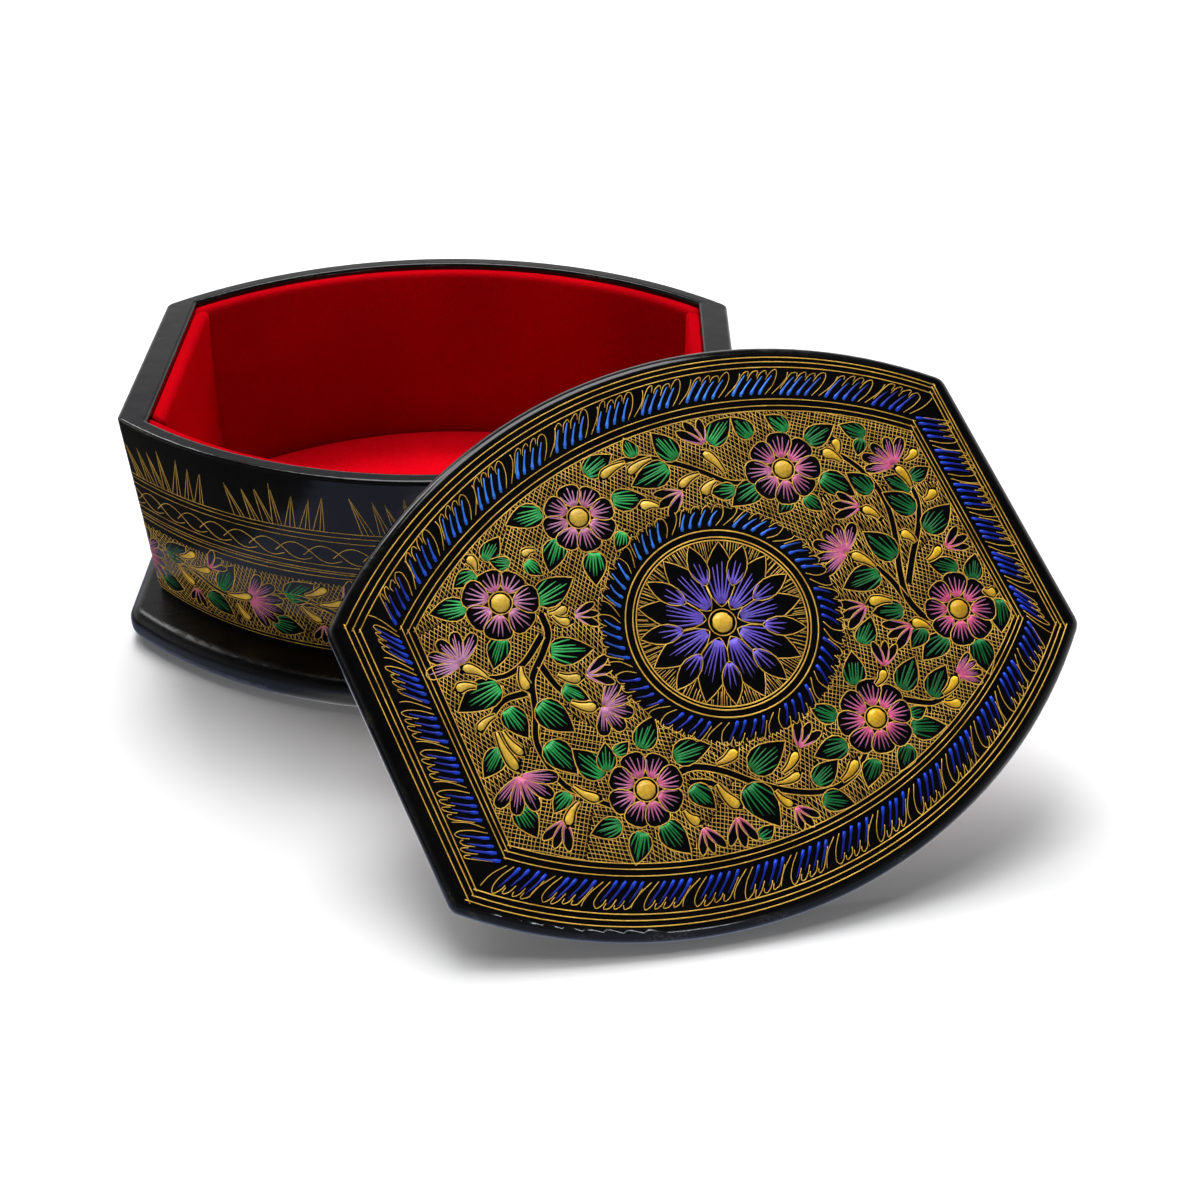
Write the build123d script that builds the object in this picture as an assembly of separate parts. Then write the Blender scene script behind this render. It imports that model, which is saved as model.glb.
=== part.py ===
from build123d import *
import math
import os

# A lacquered wooden box with bowed long sides, lined with velvet, its lid leaning on the front rim.
# The box stands on z = 0, its long axis on X, its front towards -Y. All sizes are in millimetres.

# Plan of the rim, which every other outline follows
rim_length = 200.0  # over the two straight ends
rim_width = 164.0  # over the crowns of the two bowed sides
end_width = 84.0  # a straight end, corner to corner

# Plinth, with the felt that it stands on
felt_thickness = 1.0
felt_inset = 7.0  # from the plinth's edge
plinth_thickness = 11.0
plinth_end_reach = 7.0  # beyond the rim, at the ends
plinth_side_reach = 6.0  # beyond the rim, at the bowed sides
plinth_corner = 10.0
plinth_round = 4.6

# Walls, which lean out from the foot to the rim
wall_height = 74.0
end_flare = 1.5
side_flare = 9.5
end_wall = 10.0
side_wall = 5.5
body_corner = 4.0
rim_round = 1.2
bottom_board = 6.0

# Lining: velvet drawn over card
card = 1.5
wall_velvet = 2.8
wall_velvet_round = 2.2
wall_velvet_back_round = 0.6
lining_drop = 2.0  # top of the lining below the rim
floor_gap = 0.3  # between the floor pad and the wall lining
floor_velvet = 3.0
floor_velvet_side = 0.8  # where the velvet turns down over the card's edge
floor_round = 2.0

# Lid, with the velvet-covered board under it that drops into the mouth of the box
lid_thickness = 8.0
lid_reach = 4.0  # beyond the rim, all round
lid_corner = 5.0
lid_round = 3.4
locating_board = 1.4
lid_velvet = 1.0
lid_velvet_round = 0.8
lid_end_play = 3.0  # between the lid's velvet and the wall lining
lid_side_play = 3.6
locating_corner = 3.0

# How the lid leans
lid_turn = 24.8  # degrees about the vertical
lid_cant = 10.2  # degrees, right end up
lid_lean = 36.6  # degrees, back edge up
lid_shift = 87.4  # centre of the lid's underside, to the right of the box's centre
table_gap = 0.2  # under the lid's lowest edge
rim_gap = 0.3  # between the lid's velvet and the rim

# Levels and thicknesses that follow
plinth_top = felt_thickness + plinth_thickness
rim_level = plinth_top + wall_height
floor_level = plinth_top + bottom_board
lining_top = rim_level - lining_drop
lining = card + wall_velvet
spare = 1.0  # how far a cutting solid stands beyond what it cuts


def side_arc():
    """Radius of the rim's bowed side, and the place of its centre along Y for the back side."""
    rise = (rim_width - end_width) / 2
    radius = ((rim_length / 2) ** 2 + rise**2) / (2 * rise)
    return radius, rim_width / 2 - radius


def corner_point(end_inset, side_inset):
    """The back right corner of an outline moved in from the rim's by the two insets."""
    radius, centre = side_arc()
    half = rim_length / 2 - end_inset
    return half, centre + math.sqrt((radius - side_inset) ** 2 - half**2)


def plan(end_inset, side_inset, corner=0.0):
    """Face with two straight ends and two bowed sides, moved in from the rim's outline."""
    half, shoulder = corner_point(end_inset, side_inset)
    crown = rim_width / 2 - side_inset
    back = ThreePointArc((half, shoulder), (0, crown), (-half, shoulder))
    left = Line((-half, shoulder), (-half, -shoulder))
    front = ThreePointArc((-half, -shoulder), (0, -crown), (half, -shoulder))
    right = Line((half, -shoulder), (half, shoulder))
    face = make_face(Curve() + [back, left, front, right])
    return fillet(face.vertices(), corner) if corner else face


def reach(end_inset, side_inset, along_x, along_y):
    """How far an outline reaches in a direction of the plan, times the direction's length."""
    radius, centre = side_arc()
    half, shoulder = corner_point(end_inset, side_inset)
    across, away = abs(along_x), abs(along_y)
    if across * (radius - side_inset) > half * math.hypot(across, away):
        return across * half + away * shoulder
    return away * centre + (radius - side_inset) * math.hypot(across, away)


def level_slab(low, high):
    """Everything between two levels."""
    return Pos(0, 0, (low + high) / 2) * Box(rim_length + spare, rim_width + spare, high - low)


def leaning(end_inset, side_inset, corner=0.0):
    """Solid from the walls' foot to the rim whose sides have the walls' lean."""
    foot = plan(end_inset + end_flare, side_inset + side_flare, corner)
    mouth = plan(end_inset, side_inset, corner)
    return loft([Pos(0, 0, plinth_top) * foot, Pos(0, 0, rim_level) * mouth], ruled=True)


def four_boards(ring, inner_side_inset):
    """A ring of the walls' plan as four boards, the ends fitted between the two bowed sides."""
    between = leaning(-spare, inner_side_inset)
    ends = (ring & between).solids().sort_by(Axis.X)
    sides = (ring - between).solids().sort_by(Axis.Y)
    return {"left_end": ends[0], "right_end": ends[-1], "front": sides[0], "back": sides[-1]}


def top_edges(solid):
    """The edges in the highest level of a solid."""
    return solid.edges().group_by(Axis.Z)[-1]


def top_face(solid):
    """The highest face of a solid."""
    return solid.faces().sort_by(Axis.Z)[-1]


def rounded_slab(face, thickness, radius):
    """A flat board whose edge is rounded above and below."""
    slab = extrude(face, thickness)
    rims = slab.edges().group_by(Axis.Z)
    return fillet(rims[0] + rims[-1], radius)


def base_felt():
    """Felt sheet that the box stands on."""
    sheet = plan(felt_inset - plinth_end_reach, felt_inset - plinth_side_reach, plinth_corner)
    return extrude(sheet, felt_thickness)


def plinth():
    """Base board, wider than the rim, with a rounded edge."""
    board = plan(-plinth_end_reach, -plinth_side_reach, plinth_corner)
    return Pos(0, 0, felt_thickness) * rounded_slab(board, plinth_thickness, plinth_round)


def walls():
    """Two bowed walls and two end walls, with the rim's edges rounded."""
    shell = leaning(0, 0, body_corner) - leaning(end_wall, side_wall)
    shell = fillet(top_edges(shell), rim_round)
    return four_boards(shell, side_wall)


def bottom():
    """Board that closes the box between the walls."""
    return leaning(end_wall, side_wall) & level_slab(plinth_top, floor_level)


def wall_cards():
    """Cards glued to the four walls, which the velvet is drawn over."""
    ring = leaning(end_wall, side_wall) - leaning(end_wall + card, side_wall + card)
    ring = ring & level_slab(floor_level, lining_top - wall_velvet)
    boards = four_boards(ring, side_wall + card)
    # The end cards stop at the side walls' velvet
    between = leaning(-spare, side_wall + lining)
    for side in ("left_end", "right_end"):
        boards[side] = (boards[side] & between).solid()
    return boards


def soft_top(board):
    """A velvet board with its two long top edges rounded, the one inside the box the more."""
    long_edges = top_face(board).edges().sort_by(SortBy.LENGTH)[-2:]
    inner, outer = sorted(long_edges, key=lambda edge: edge.center().X ** 2 + edge.center().Y ** 2)
    board = board.fillet(wall_velvet_round, [inner])
    outer = top_face(board).edges().sort_by_distance(outer.center())[0]
    return board.fillet(wall_velvet_back_round, [outer])


def wall_velvets(cards):
    """Velvet over each wall card: its face, and its top turned over the card's edge."""
    ring = leaning(end_wall, side_wall) - leaning(end_wall + lining, side_wall + lining)
    boards = four_boards(ring & level_slab(floor_level, lining_top), side_wall + lining)
    return {side: soft_top(board) - cards[side] for side, board in boards.items()}


def floor_card_sheet():
    """Card inside the floor pad."""
    inset = lining + floor_gap + floor_velvet_side
    sheet = leaning(end_wall + inset, side_wall + inset)
    return sheet & level_slab(floor_level, floor_level + card)


def floor_pad(sheet):
    """Velvet floor pad, its upper edge rounded, drawn down over the card's edge."""
    inset = lining + floor_gap
    pad = leaning(end_wall + inset, side_wall + inset)
    pad = pad & level_slab(floor_level, floor_level + card + floor_velvet)
    return fillet(top_edges(pad), floor_round) - sheet


def lid_board():
    """Lid, its decorated face up and its underside on z = 0."""
    return rounded_slab(plan(-lid_reach, -lid_reach, lid_corner), lid_thickness, lid_round)


def lid_insets(more=0.0):
    """Insets of the board under the lid, which clears the lined mouth of the box."""
    return end_wall + lining + lid_end_play + more, side_wall + lining + lid_side_play + more


def lid_locating_board():
    """Thin board under the lid that keeps it in the mouth of the box."""
    return extrude(plan(*lid_insets(lid_velvet), locating_corner), -locating_board)


def lid_velvet_cover(board):
    """Velvet over the locating board's face and edges."""
    depth = locating_board + lid_velvet
    cover = extrude(plan(*lid_insets(), locating_corner + lid_velvet), -depth)
    return fillet(cover.edges().group_by(Axis.Z)[0], lid_velvet_round) - board


def leaning_lid_place():
    """Place of the lid's underside: its lower edge on the table, its velvet on the front rim."""
    turn, cant, lean = (math.radians(angle) for angle in (lid_turn, lid_cant, lid_lean))
    # Rise of each of the lid's own axes
    rise_x, rise_y, rise_z = math.sin(cant), math.cos(cant) * math.sin(lean), math.cos(cant) * math.cos(lean)
    # Direction of the lid's upper face
    face_x = math.sin(turn) * math.sin(lean) - math.cos(turn) * math.sin(cant) * math.cos(lean)
    face_y = -math.cos(turn) * math.sin(lean) - math.sin(turn) * math.sin(cant) * math.cos(lean)
    edge_drop = reach(lid_round - lid_reach, lid_round - lid_reach, rise_x, rise_y)
    height = table_gap + edge_drop + lid_round * (1 - rise_z)
    rim_support = reach(rim_round, rim_round, face_x, face_y) + rise_z * (rim_level - rim_round) + rim_round
    stand_off = locating_board + lid_velvet + rim_gap
    depth = (rim_support + stand_off - face_x * lid_shift - rise_z * height) / face_y
    return Pos(lid_shift, depth, height) * Rot(0, 0, lid_turn) * Rot(0, -lid_cant, 0) * Rot(lid_lean, 0, 0)


def all_parts():
    """Every sub-part by its node name."""
    cards = wall_cards()
    floor_sheet = floor_card_sheet()
    parts = {"plinth_board": plinth(), "plinth_felt": base_felt(), "bottom_board": bottom()}
    for side, board in walls().items():
        parts[f"{side}_wall"] = board
    for side, board in cards.items():
        parts[f"{side}_lining_card"] = board
    for side, board in wall_velvets(cards).items():
        parts[f"{side}_velvet"] = board
    parts["floor_card"] = floor_sheet
    parts["floor_velvet"] = floor_pad(floor_sheet)
    place = leaning_lid_place()
    locating = lid_locating_board()
    parts["lid_board"] = place * lid_board()
    parts["lid_locating_board"] = place * locating
    parts["lid_velvet"] = place * lid_velvet_cover(locating)
    return parts


os.makedirs("parts", exist_ok=True)
for name, shape in all_parts().items():
    export_step(shape, f"parts/{name}.step")
print("lid place", leaning_lid_place())
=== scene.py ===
"""Looks of a lacquered box with bowed sides: its ornament, velvet lining, felt and lacquer.

The lid leans on the front rim. Plans and ornament are worked out in millimetres, and every
finished mesh is in metres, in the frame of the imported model.
"""

import logging
import math
from dataclasses import dataclass, field
from enum import Enum
from typing import Callable, Iterable, Sequence

import bmesh
import bpy
import numpy as np
from mathutils import Matrix, Vector


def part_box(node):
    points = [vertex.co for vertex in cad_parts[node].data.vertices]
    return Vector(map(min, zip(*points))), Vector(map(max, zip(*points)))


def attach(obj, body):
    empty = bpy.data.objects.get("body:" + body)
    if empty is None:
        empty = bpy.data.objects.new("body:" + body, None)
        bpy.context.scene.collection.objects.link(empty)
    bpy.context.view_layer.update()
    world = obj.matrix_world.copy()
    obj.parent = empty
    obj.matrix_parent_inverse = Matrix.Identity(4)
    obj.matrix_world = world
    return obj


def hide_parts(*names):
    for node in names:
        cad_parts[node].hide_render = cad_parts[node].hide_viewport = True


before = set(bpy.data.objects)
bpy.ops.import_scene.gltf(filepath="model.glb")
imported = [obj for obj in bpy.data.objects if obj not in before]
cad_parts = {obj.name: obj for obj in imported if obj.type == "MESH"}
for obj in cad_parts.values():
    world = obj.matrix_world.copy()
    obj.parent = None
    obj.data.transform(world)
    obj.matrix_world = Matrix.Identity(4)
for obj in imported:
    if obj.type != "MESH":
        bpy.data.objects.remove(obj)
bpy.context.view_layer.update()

logging.basicConfig(level=logging.INFO, format="%(name)s: %(message)s")
log = logging.getLogger("lacquer_box")

MM = 0.001
Colour = tuple[float, float, float, float]
Point = tuple[float, float]
Rows = tuple[tuple[float, ...], ...]
Socket = bpy.types.NodeSocket
WHITE: Colour = (1.0, 1.0, 1.0, 1.0)
BLACK: Colour = (0.0, 0.0, 0.0, 1.0)


def screen_colour(red: float, green: float, blue: float) -> Colour:
    """Linear colour of one given as a screen shows it.

    Args:
        red: Red, from 0 to 255.
        green: Green, from 0 to 255.
        blue: Blue, from 0 to 255.

    Returns:
        The linear colour with an alpha of 1.
    """

    def linear(value: float) -> float:
        """Linear share of one channel."""
        share = value / 255
        return share / 12.92 if share <= 0.04045 else ((share + 0.055) / 1.055) ** 2.4

    return (linear(red), linear(green), linear(blue), 1.0)


# Plan of the box


@dataclass(frozen=True)
class Bend:
    """Round stretch of an outline, by its centre, radius and two angles in radians."""

    x: float
    y: float
    radius: float
    start: float
    end: float

    @property
    def length(self) -> float:
        """Length along the stretch."""
        return self.radius * abs(self.end - self.start)

    def at(self, share: np.ndarray) -> np.ndarray:
        """Points at shares of the stretch, from 0 to 1."""
        angle = self.start + (self.end - self.start) * share
        return self.radius * np.stack([np.cos(angle), np.sin(angle)], -1) + (self.x, self.y)


@dataclass(frozen=True)
class Run:
    """Straight stretch of an outline, by its two ends."""

    start: Point
    end: Point

    @property
    def length(self) -> float:
        """Length along the stretch."""
        return math.dist(self.start, self.end)

    def at(self, share: np.ndarray) -> np.ndarray:
        """Points at shares of the stretch, from 0 to 1."""
        low, high = np.array(self.start), np.array(self.end)
        return low + (high - low) * np.asarray(share)[..., None]


@dataclass(frozen=True)
class BoxPlan:
    """Plan that the walls, lid, lining and plinth share, as sizes at the rim in millimetres."""

    length: float = 200.0
    width: float = 164.0
    end_width: float = 84.0

    @property
    def radius(self) -> float:
        """Radius of a bowed side at the rim."""
        rise = (self.width - self.end_width) / 2
        return ((self.length / 2) ** 2 + rise**2) / (2 * rise)

    @property
    def beyond(self) -> float:
        """How far a bowed side's centre lies beyond the middle of the box."""
        return self.radius - self.width / 2

    def half_length(self, end_inset: float) -> float:
        """Half of the length of an outline moved in at the ends."""
        return self.length / 2 - end_inset

    def side_at(self, x: np.ndarray, side_inset: float) -> np.ndarray:
        """Distance from the middle to a bowed side, at places along the length."""
        return np.sqrt((self.radius - side_inset) ** 2 - np.square(x)) - self.beyond

    def stretches(self, end_inset: float, side_inset: float, corner: float) -> list[Bend | Run]:
        """Outline moved in from the rim's, as the stretches met going anticlockwise.

        Args:
            end_inset: How far the straight ends move in.
            side_inset: How far the bowed sides move in.
            corner: Radius of the corners.

        Returns:
            Front side, corner, right end, corner, back side, corner, left end and corner.
        """
        reach = self.half_length(end_inset) - corner
        inner = self.radius - side_inset - corner
        drop = math.sqrt(inner**2 - reach**2)
        turn = math.atan2(reach, drop)
        level = drop - self.beyond
        quarter = math.pi / 2
        side = self.radius - side_inset
        edge = reach + corner
        return [
            Bend(0, self.beyond, side, -quarter - turn, -quarter + turn),
            Bend(reach, -level, corner, -quarter + turn, 0),
            Run((edge, -level), (edge, level)),
            Bend(reach, level, corner, 0, quarter - turn),
            Bend(0, -self.beyond, side, quarter - turn, quarter + turn),
            Bend(-reach, level, corner, quarter + turn, 2 * quarter),
            Run((-edge, level), (-edge, -level)),
            Bend(-reach, -level, corner, 2 * quarter, 3 * quarter - turn),
        ]

    def outline(
        self, end_inset: float, side_inset: float, corner: float, counts: Sequence[int]
    ) -> np.ndarray:
        """Closed outline as points, the same number for every inset.

        Args:
            end_inset: How far the straight ends move in.
            side_inset: How far the bowed sides move in.
            corner: Radius of the corners.
            counts: Points on a bowed side, on a corner and on a straight end.

        Returns:
            The points, anticlockwise seen from above.
        """
        side, bend, end = counts
        stretches = self.stretches(end_inset, side_inset, corner)
        counted = zip(stretches, (side, bend, end, bend) * 2)
        return np.concatenate([stretch.at(np.arange(count) / count) for stretch, count in counted])


def levels(node: str) -> tuple[float, float]:
    """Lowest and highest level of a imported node, in millimetres."""
    low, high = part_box(node)
    return low.z / MM, high.z / MM


# Surfaces that carry the ornament


@dataclass(frozen=True)
class LidFace:
    """Decorated face of the leaning lid.

    Its drawing has the long axis on x and the raised edge on +y.
    """

    plan: BoxPlan
    reach: float = 4.0
    thickness: float = 8.0
    turn: float = 24.8
    cant: float = 10.2
    lean: float = 36.6

    @property
    def place(self) -> Matrix:
        """Place of the lid's underside, in millimetres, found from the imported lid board.

        Returns:
            The place.
        """
        angles = [math.radians(angle) for angle in (self.turn, -self.cant, self.lean)]
        turned = (
            Matrix.Rotation(angles[0], 4, "Z")
            @ Matrix.Rotation(angles[1], 4, "Y")
            @ Matrix.Rotation(angles[2], 4, "X")
        )
        low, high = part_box("lid_board")
        middle = (low + high) / (2 * MM)
        return Matrix.Translation(middle) @ turned @ Matrix.Translation((0, 0, -self.thickness / 2))

    def settle(self, points: np.ndarray) -> np.ndarray:
        """World points, in metres, of drawing points with their height above the face."""
        matrix = np.array(self.place)
        return ((points + (0, 0, self.thickness)) @ matrix[:3, :3].T + matrix[:3, 3]) * MM

    def edge(self, insets: Sequence[Point], side: int, spare: float = 0.0) -> np.ndarray:
        """Hand-ruled line inside one edge of the lid, up to the lines that it meets.

        Args:
            insets: Insets at the start and end of the front, right, back and left lines.
            side: 0 front, 1 right, 2 back, 3 left.
            spare: How far the line runs on past its corners.

        Returns:
            Points of the line, going anticlockwise.
        """
        front, right, back, left = insets
        half = self.plan.half_length(-self.reach)

        def corner(end_inset: float, side_inset: float, along: int, up: int) -> Point:
            """Corner of two lines, by the signs of its place."""
            x = half - end_inset
            return along * x, up * float(self.plan.side_at(x, side_inset - self.reach))

        corners = (
            corner(left[1], front[0], -1, -1),
            corner(right[0], front[1], 1, -1),
            corner(right[1], back[0], 1, 1),
            corner(left[0], back[1], -1, 1),
        )
        start, end = corners[side], corners[(side + 1) % 4]
        over = spare / math.dist(start, end)
        share = np.linspace(-over, 1 + over, 48)
        inset = np.interp(share, (0, 1), insets[side])
        if side % 2:
            y = start[1] + (end[1] - start[1]) * share
            return np.column_stack([(half - inset) * (2 - side), y])
        x = start[0] + (end[0] - start[0]) * share
        return np.column_stack([x, self.plan.side_at(x, inset - self.reach) * (side - 1)])


@dataclass
class WallFace:
    """Outer face of the four walls, unrolled.

    Its drawing runs along x from the middle of the front to the right, measured at the rim, and
    up from the walls' foot on y.
    """

    plan: BoxPlan
    end_flare: float = 1.5
    side_flare: float = 9.5
    corner: float = 4.0
    rim_stretches: list[Bend | Run] = field(init=False)
    foot_stretches: list[Bend | Run] = field(init=False)
    foot_level: float = field(init=False)
    rim_level: float = field(init=False)

    def __post_init__(self) -> None:
        """Works out the outlines and levels of the rim and the foot."""
        self.rim_stretches = self.plan.stretches(0, 0, self.corner)
        self.foot_stretches = self.plan.stretches(self.end_flare, self.side_flare, self.corner)
        self.foot_level, self.rim_level = levels("front_wall")

    @property
    def height(self) -> float:
        """Height of the walls."""
        return self.rim_level - self.foot_level

    @property
    def girth(self) -> float:
        """Length once round the rim."""
        return sum(stretch.length for stretch in self.rim_stretches)

    def on_wall(self, along: np.ndarray, up: np.ndarray) -> np.ndarray:
        """Points on the walls, in millimetres, of drawing points.

        Args:
            along: Distance of each point round the rim.
            up: Its height above the walls' foot.

        Returns:
            One row for each point.
        """
        lengths = np.array([stretch.length for stretch in self.rim_stretches])
        starts = np.concatenate([[0], np.cumsum(lengths)])
        travelled = np.mod(along + lengths[0] / 2, starts[-1])
        which = np.clip(np.searchsorted(starts, travelled, side="right") - 1, 0, len(lengths) - 1)
        share = (travelled - starts[which]) / lengths[which]
        low, high = np.zeros((len(along), 2)), np.zeros((len(along), 2))
        for index, (foot, rim) in enumerate(zip(self.foot_stretches, self.rim_stretches)):
            chosen = which == index
            low[chosen], high[chosen] = foot.at(share[chosen]), rim.at(share[chosen])
        rise = (up / self.height)[:, None]
        return np.column_stack([low + (high - low) * rise, self.foot_level + up])

    def settle(self, points: np.ndarray) -> np.ndarray:
        """World points, in metres, of drawing points with their height above the wall.

        Args:
            points: The drawing points.

        Returns:
            One row for each point.
        """
        along, up, out = points.T
        step = 0.05
        here = self.on_wall(along, up)
        across = self.on_wall(along + step, up) - self.on_wall(along - step, up)
        rising = self.on_wall(along, up + step) - self.on_wall(along, up - step)
        outwards = np.cross(across, rising)
        outwards /= np.linalg.norm(outwards, axis=1)[:, None]
        return (here + outwards * out[:, None]) * MM


# Drawing the ornament


class Paint(Enum):
    """Paints of the ornament, each by the name that its piece has."""

    LINE = "gold_lines"
    NET = "gold_net"
    BLUE = "blue_feathers"
    GREEN = "green_leaves"
    PINK = "pink_petals"
    PURPLE = "purple_petals"
    YELLOW = "yellow_drops"


@dataclass(frozen=True)
class Brush:
    """Half width of a brush stroke, in millimetres, at shares of its length."""

    shares: tuple[float, ...]
    halves: tuple[float, ...]

    def at(self, share: np.ndarray) -> np.ndarray:
        """Half widths at shares of the stroke."""
        return np.interp(share, self.shares, self.halves)


FEATHER_BRUSH = Brush((0, 0.06, 0.15, 0.28, 0.7, 1), (0.38, 0.64, 0.56, 0.33, 0.28, 0.11))
PETAL_BRUSH = Brush((0, 0.12, 0.35, 0.8, 1), (0.42, 0.42, 0.27, 0.18, 0.07))
LEAF_BRUSH = Brush((0, 0.1, 0.26, 0.8, 1), (0.44, 0.44, 0.27, 0.18, 0.07))
DROP_BRUSH = Brush((0, 0.06, 0.2, 0.4, 0.7, 1), (0.6, 1.1, 1.3, 1.05, 0.62, 0.26))


@dataclass(frozen=True)
class PetalForm:
    """Outline of a petal or leaf by the two powers that shape its base and its tip."""

    base_power: float
    tip_power: float

    def half_width(self, share: np.ndarray) -> np.ndarray:
        """Half width at shares of the length, 1 where it is widest.

        Args:
            share: The shares.

        Returns:
            Half width at each share.
        """
        widest = self.base_power / (self.base_power + self.tip_power)
        peak = widest**self.base_power * (1 - widest) ** self.tip_power
        share = np.clip(share, 0, 1)
        return share**self.base_power * (1 - share) ** self.tip_power / peak


ROUND_PETAL = PetalForm(0.75, 0.38)
BUD_PETAL = PetalForm(0.7, 0.55)
POINTED_LEAF = PetalForm(0.55, 1.05)
POINTED_PETAL = PetalForm(0.8, 1.0)


def smooth_line(points: Sequence[Point], spacing: float) -> np.ndarray:
    """Smooth line through a few chosen points.

    Args:
        points: The points that the line goes through.
        spacing: Rough distance between the points given back.

    Returns:
        Points along a Catmull-Rom curve.
    """
    knots = np.array(points, float)
    ends = [2 * knots[0] - knots[1]], [2 * knots[-1] - knots[-2]]
    padded = np.concatenate([ends[0], knots, ends[1]])
    parts = []
    for before, start, end, after in zip(padded, padded[1:], padded[2:], padded[3:]):
        count = max(2, int(np.linalg.norm(end - start) / spacing))
        t = (np.arange(count) / count)[:, None]
        parts.append(
            0.5
            * (
                2 * start
                + (end - before) * t
                + (2 * before - 5 * start + 4 * end - after) * t**2
                + (3 * start - before - 3 * end + after) * t**3
            )
        )
    return np.concatenate([*parts, knots[-1:]])


def offset_line(points: np.ndarray, distance: np.ndarray | float) -> np.ndarray:
    """Line moved to the left of its own direction.

    Args:
        points: Points of the line.
        distance: How far it moves, for all points or each.

    Returns:
        The moved points.
    """
    along = np.gradient(points, axis=0)
    along /= np.linalg.norm(along, axis=1)[:, None] + 1e-9
    left = np.column_stack([-along[:, 1], along[:, 0]])
    return points + left * np.broadcast_to(distance, len(points))[:, None]


def within(points: np.ndarray, outline: np.ndarray) -> np.ndarray:
    """Which points lie inside a closed outline.

    Args:
        points: The points.
        outline: Corners of the outline.

    Returns:
        True for each point inside.
    """
    x, y = points[:, :1], points[:, 1:2]
    x0, y0 = outline.T
    x1, y1 = np.roll(outline, -1, axis=0).T
    rise = np.where(y1 == y0, 1e-9, y1 - y0)
    crosses = ((y0 > y) != (y1 > y)) & (x < x0 + (y - y0) * (x1 - x0) / rise)
    return crosses.sum(1) % 2 == 1


def runs(chosen: np.ndarray, fewest: int = 3) -> list[tuple[int, int]]:
    """Start of each stretch of true values in a row, and the place after its end."""
    turns = np.flatnonzero(np.diff(np.concatenate([[0], chosen.astype(int), [0]])))
    return [pair for pair in zip(turns[::2], turns[1::2]) if pair[1] - pair[0] >= fewest]


class Track:
    """Line along which things are set by distance."""

    def __init__(self, points: np.ndarray) -> None:
        """Measures the line.

        Args:
            points: Points of the line.
        """
        self.points = points
        steps = np.linalg.norm(np.diff(points, axis=0), axis=1)
        self.reached = np.concatenate([[0], np.cumsum(steps)])

    @property
    def length(self) -> float:
        """Length of the line."""
        return float(self.reached[-1])

    def at(self, distance: float) -> tuple[np.ndarray, np.ndarray]:
        """Point at a distance, and the direction to the left of the line there.

        Args:
            distance: Distance from the line's start.

        Returns:
            The point and the direction.
        """
        distance = min(max(distance, 0.05), self.length - 0.05)
        near = [distance - 0.05, distance, distance + 0.05]
        x, y = (np.interp(near, self.reached, axis) for axis in self.points.T)
        left = np.array([y[0] - y[2], x[2] - x[0]])
        return np.array([x[1], y[1]]), left / np.linalg.norm(left)


@dataclass(frozen=True)
class Stroke:
    """Row of points with a half width each, whether its ends meet, and the box that it lies in."""

    row: np.ndarray
    closed: bool
    box: tuple[float, float, float, float]

    @classmethod
    def along(cls, row: np.ndarray, closed: bool) -> "Stroke":
        """Stroke along a row of points."""
        low, high = row[:, :2].min(0), row[:, :2].max(0)
        return cls(row, closed, (float(low[0]), float(low[1]), float(high[0]), float(high[1])))

    def outside(self, outline: np.ndarray) -> list["Stroke"]:
        """Cuts the stroke where it crosses a closed outline.

        Args:
            outline: The outline.

        Returns:
            The parts outside, or the stroke itself where nothing is cut.
        """
        row = np.concatenate([self.row, self.row[:1]]) if self.closed else self.row
        lengths = np.linalg.norm(np.diff(row[:, :2], axis=0), axis=1)
        reached = np.concatenate([[0], np.cumsum(lengths)])
        step = 0.45
        places = np.union1d(reached, np.arange(0, reached[-1], step))
        fine = np.column_stack([np.interp(places, reached, axis) for axis in row.T])
        free = ~within(fine[:, :2], outline)
        if free.all():
            return [self]
        bends = np.isin(places, reached)
        parts = []
        for first, last in runs(free):
            kept = bends[first:last].copy()
            kept[[0, -1]] = True
            parts.append(Stroke.along(fine[first:last][kept], False))
        return parts


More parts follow.
